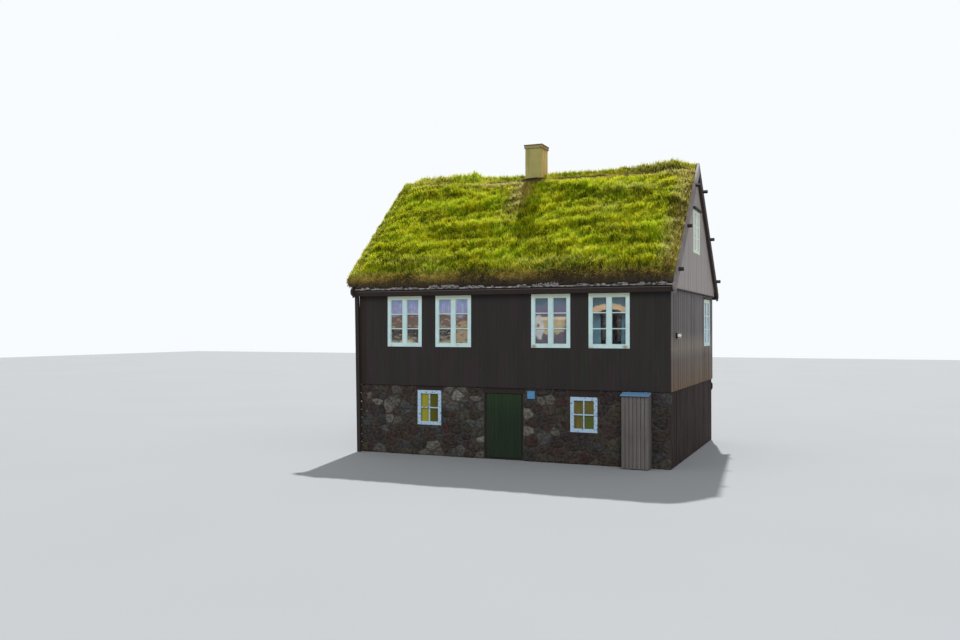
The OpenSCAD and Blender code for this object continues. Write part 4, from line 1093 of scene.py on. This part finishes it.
# Grass of the ridge's strip: longer where the strip is thick, dry near the gables,
# and darker and browner low on the strip at the right, as painted shade.
x, a = draw.uniform(-verge + 0.02, verge - 0.02, 15500), np.radians(draw.uniform(12, 168, 15500))
clear = clear_of_chimney(x)
x, a = x[clear], a[clear]
root, normal = normals(ridge_surface, x, a)
across = np.abs(root[:, 1])
# Painted shade: darker towards the strip's low edges, and darker and browner in a band along them at the
# right.
low = np.clip((across - 0.22) / 0.1, 0, 1)
shaded_band = np.clip(1 - np.abs(x - 3.3) / 0.9, 0, 1) * np.clip((across - 0.12) / 0.08, 0, 1)
tones = patch_tone(x, root[:, 1], 1) + draw.normal(0.1, 0.12, len(root)) - 0.25 * low - 0.4 * shaded_band
high = 0.05 + 0.09 * draw.uniform(0, 1, len(root)) ** 2 * (0.6 + np.interp(x / half_l, *humps.T) / 2)
dries = draw.normal(0.2, 0.15, len(root)) + 0.5 * (x < -3.2) * draw.uniform(0, 1, len(x))
dries = np.clip(dries + 0.6 * (x > 3.4) * draw.uniform(0, 1, len(x)) + 0.7 * shaded_band, 0, 1)
grass("ridge_grass", root, normal, high * (1 - 0.5 * low), tones, dries, draw)

# Grass of the left verge's roll: rooted all over the roll's turf, it stands up on
# top and hangs down outside.
for name, side in both_sides:
    s, a = draw.uniform(0.12, slope_l, 8500), draw.uniform(0.1, 4.3, 8500)
    root = verge_roll(s, a, side)
    step_s, step_a = verge_roll(s + 0.004, a, side) - root, verge_roll(s, a + 0.01, side) - root
    normal = np.cross(step_s, step_a)
    normal /= np.linalg.norm(normal, axis=1)[:, None]
    outward = root - verge_roll(s, a + math.pi, side)
    normal *= np.sign((normal * outward).sum(1))[:, None]
    tones = patch_tone(root[:, 0], s, side) + draw.normal(0, 0.12, len(s))
    dries = np.maximum(dryness(root[:, 0], s, side) - 0.15, 0) + draw.normal(0.15, 0.15, len(s))
    length = draw.uniform(0.03, 0.1, len(s))
    grass(name + "_verge_grass", root, normal, length, tones, np.clip(dries, 0, 1), draw,
          hang=np.clip((a - 2.4) / 1.2, 0, 0.9))

# The eaves: a dark board under the roof boards' edge, and over it the ends of
# the birch bark, torn into pale curled flakes under the turf's brow.
bark, tree, shader = start("birch_bark", 0.75, 0.3)
pale = mix(tree, blots(tree, (0.09, 0.05, 0.03), 5, 0.42, 0.6), (178, 174, 171), (66, 59, 55))
coat(tree, shader, pale, mottle(tree, (0.03, 0.03, 0.008), 4), 0.003)
clad(bark, "eave_bark")
flake_z, flake_y, flake_t = 4.688, 3.654, 0.004
each = (80, 1, 1)
for name, side in both_sides:
    middle = draw.uniform(-verge + 0.15, verge - 0.15, each)
    middle = middle + 0.12 * np.sin(7 * middle) + 0.2 * np.sin(2.3 * middle + 1) * (np.abs(middle) < 4)
    w = draw.uniform(0.03, 0.17, each)
    h = draw.uniform(0.03, 0.06, each) + 0.04 * np.clip(np.sin(1.9 * middle * -side - 1.5), 0, 1)
    curl, lean = draw.uniform(0.0, 0.04, each), draw.uniform(-0.25, 0.25, each)
    p, q = np.meshgrid(np.linspace(-1, 1, 9), np.linspace(0, 1, 4))
    torn = 1 + 0.25 * np.sin(p * draw.uniform(2, 7, each) + middle * 9) + 0.1 * np.sin(p * 23 + middle * 5)
    up = h * q * torn
    x = middle + w * p * (1 - 0.15 * q) + lean * h * q
    y = side * (flake_y + 0.5 * up + curl * q**2)
    face = np.stack([x, y, flake_z + up], -1).reshape(len(x), -1, 3)
    points = np.concatenate([face, face - [0, side * flake_t, 0]], 1)
    piece(name + "_bark_flakes", points, copies(points, sheet_faces(*p.shape)), bark, "bark", smooth=True)
eave_wood, tree, shader, colour = timber("eave_wood", 0.8, (38, 30, 28), (46, 37, 34), (66, 56, 52), 0.2)
height = along(tree, 2)
rim = times(tree, span(tree, height, 4.630, 4.634), span(tree, height, 4.646, 4.650, 1.0, 0.0))
coat(tree, shader, mix(tree, times(tree, rim, 0.7), colour, (150, 142, 138)))
clad(eave_wood, "eave_boards")

# Bargeboards: weathered boards along both gables' edges, held by the ends of the
# battens that keep the turf from sliding. The rear and left ones are coloured dark
# as painted shade.
grey, tree, shader, colour = timber("bargeboard_grey", 0.85, (92, 84, 82), (128, 120, 116), (176, 168, 164),
                                    0.2, 0.05)
height = along(tree, 2)
colour = mix(tree, span(tree, height, 7.4, 8.2, 0.0, 0.6), colour, (206, 202, 200))
# Painted shade: all but the front right boards are darkened to a near-black brown.
front = span(tree, along(tree, 1), 0.0, 0.02, 1.0, 0.0)
front_right = times(tree, front, span(tree, along(tree, 0), 0.0, 0.1))
dark = span(tree, front_right, 0.0, 1.0, 0.9, 0.0)
coat(tree, shader, mix(tree, dark, colour, (48, 37, 36)))
clad(grey, "right_bargeboards", "left_bargeboards")

# Floors and roof boards: bare sawn pine, nailed down on beams and rafters. The roof
# boards are tarred at the eaves' edge, where they show.
pine, tree, shader, colour = timber("bare_pine", 0.8, (120, 92, 62), (160, 128, 90), (196, 168, 128),
                                    0.2, 0.05)
tarred_edge = span(tree, reckon(tree, "ABSOLUTE", along(tree, 1)), 3.45, 3.5)
coat(tree, shader, mix(tree, tarred_edge, colour, (40, 33, 31)))
clad(pine, "main_floor", "loft_floor", "front_roof_deck", "rear_roof_deck")

# The chimney: brick under an ochre lime wash, streaked where rain runs down
# from the cap, under a thin dark plate.
wash, tree, shader = start("ochre_wash", 0.9, 0.2)
east, height = along(tree, 0), along(tree, 2)
ochre = mix(tree, blots(tree, 0.3, 4, 0.35, 0.7), (172, 162, 103), (157, 149, 91))
runs = blots(tree, (0.05, 0.05, 0.7), 4, 0.5, 0.7, 0.0, 0.6)
ochre = mix(tree, runs, ochre, (118, 118, 62))
# Painted light: the right face is written lighter and yellower than the rest.
painted_light_side = mix(tree, blots(tree, (0.1, 0.1, 0.6), 4, 0.35, 0.7), (230, 198, 118), (196, 166, 102))
ochre = mix(tree, span(tree, east, -0.0208, -0.0202), ochre, painted_light_side)
ochre = mix(tree, span(tree, height, 9.095, 9.105, 0.0, 0.6), ochre, (140, 122, 88))
ochre = mix(tree, span(tree, height, 9.190, 9.193, 0.0, 0.85), ochre, (72, 64, 52))
rust = times(tree, span(tree, east, -0.16, -0.05), span(tree, height, 9.0, 9.1))
rust = times(tree, rust, blots(tree, 0.05, 4, 0.5, 0.6, 0.0, 0.7, shift=(1, 1, 4)))
coat(tree, shader, mix(tree, rust, ochre, (120, 76, 44)), mottle(tree, 0.02, 5), 0.003)
clad(wash, "chimney_stack", "chimney_cap")

# A round lamp on the right gable: opal glass on a black base, under two crossed
# iron hoops.
opal, tree, shader = start("lamp", 0.25, 0.5)
dusty = mix(tree, blots(tree, 0.03, 3, 0.4, 0.7), (232, 232, 226), (214, 208, 188))
base = span(tree, along(tree, 0), half_l + 0.0555, half_l + 0.06, 1.0, 0.0)
coat(tree, shader, mix(tree, base, dusty, (22, 22, 24)))
clad(opal, "gable_lamp")
iron, tree, shader = start("hoop_iron", 0.6, 0.3)
coat(tree, shader, mix(tree, mottle(tree, 0.01), (24, 24, 26), (44, 38, 36)),
     mottle(tree, 0.004), 0.0003)
middle = (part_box("gable_lamp")[0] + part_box("gable_lamp")[1]) / 2
hoop_r, wire_r, hoop_x = 0.080, 0.009, half_l + 0.0695
b, a = np.meshgrid(np.radians(np.linspace(-98, 98, 29)), np.radians(np.arange(0, 360, 60)), indexing="ij")
points = []
for tilt in np.radians([40, 130]):
    far, off = hoop_r + wire_r * np.cos(a), wire_r * np.sin(a)
    side = far * np.sin(b)
    points.append(np.stack([hoop_x + far * np.cos(b), middle.y + side * math.cos(tilt) - off * math.sin(tilt),
                            middle.z + side * math.sin(tilt) + off * math.cos(tilt)], -1).reshape(-1, 3))
points = np.array(points)
piece("lamp_hoops", points, copies(points, skin(*b.shape)), iron, "lamp", smooth=True)

# The bin store: a slatted box of bare boards against the front wall, under a lid
# painted blue that is hinged at the wall.
slat, *_ = timber("bin_slats", 0.85, (80, 76, 75), (104, 99, 96), (140, 136, 134), 0.15, 0.03)
clad(slat, "bin_store")
lid, tree, shader = start("lid_blue", 0.5, 0.4)
worn = blots(tree, 0.08, 5, 0.5, 0.7, 0.0, 0.7)
lightened = mix(tree, worn, (102, 144, 184), (126, 158, 184))
coat(tree, shader, lightened, mottle(tree, (0.02, 0.3, 0.02)), 0.001)
clad(lid, "bin_lid")

# The plain floor that the studio gives: one flat grey sheet just below the ground's
# height. It isn't part of the house.
pale_floor, tree, shader = start("pale_floor", 0.9, 0.1)
coat(tree, shader, mix(tree, mottle(tree, 6, 1), (152, 154, 156), (156, 158, 160)))
floor_mesh = bpy.data.meshes.new("studio_floor")
corners = [(90 * x, 90 * y, -0.004) for x, y in ((-1, -1), (1, -1), (1, 1), (-1, 1))]
floor_mesh.from_pydata(corners, [], [(0, 1, 2, 3)])
floor_mesh.materials.append(pale_floor)
studio_floor = bpy.data.objects.new("studio_floor", floor_mesh)
scene.collection.objects.link(studio_floor)
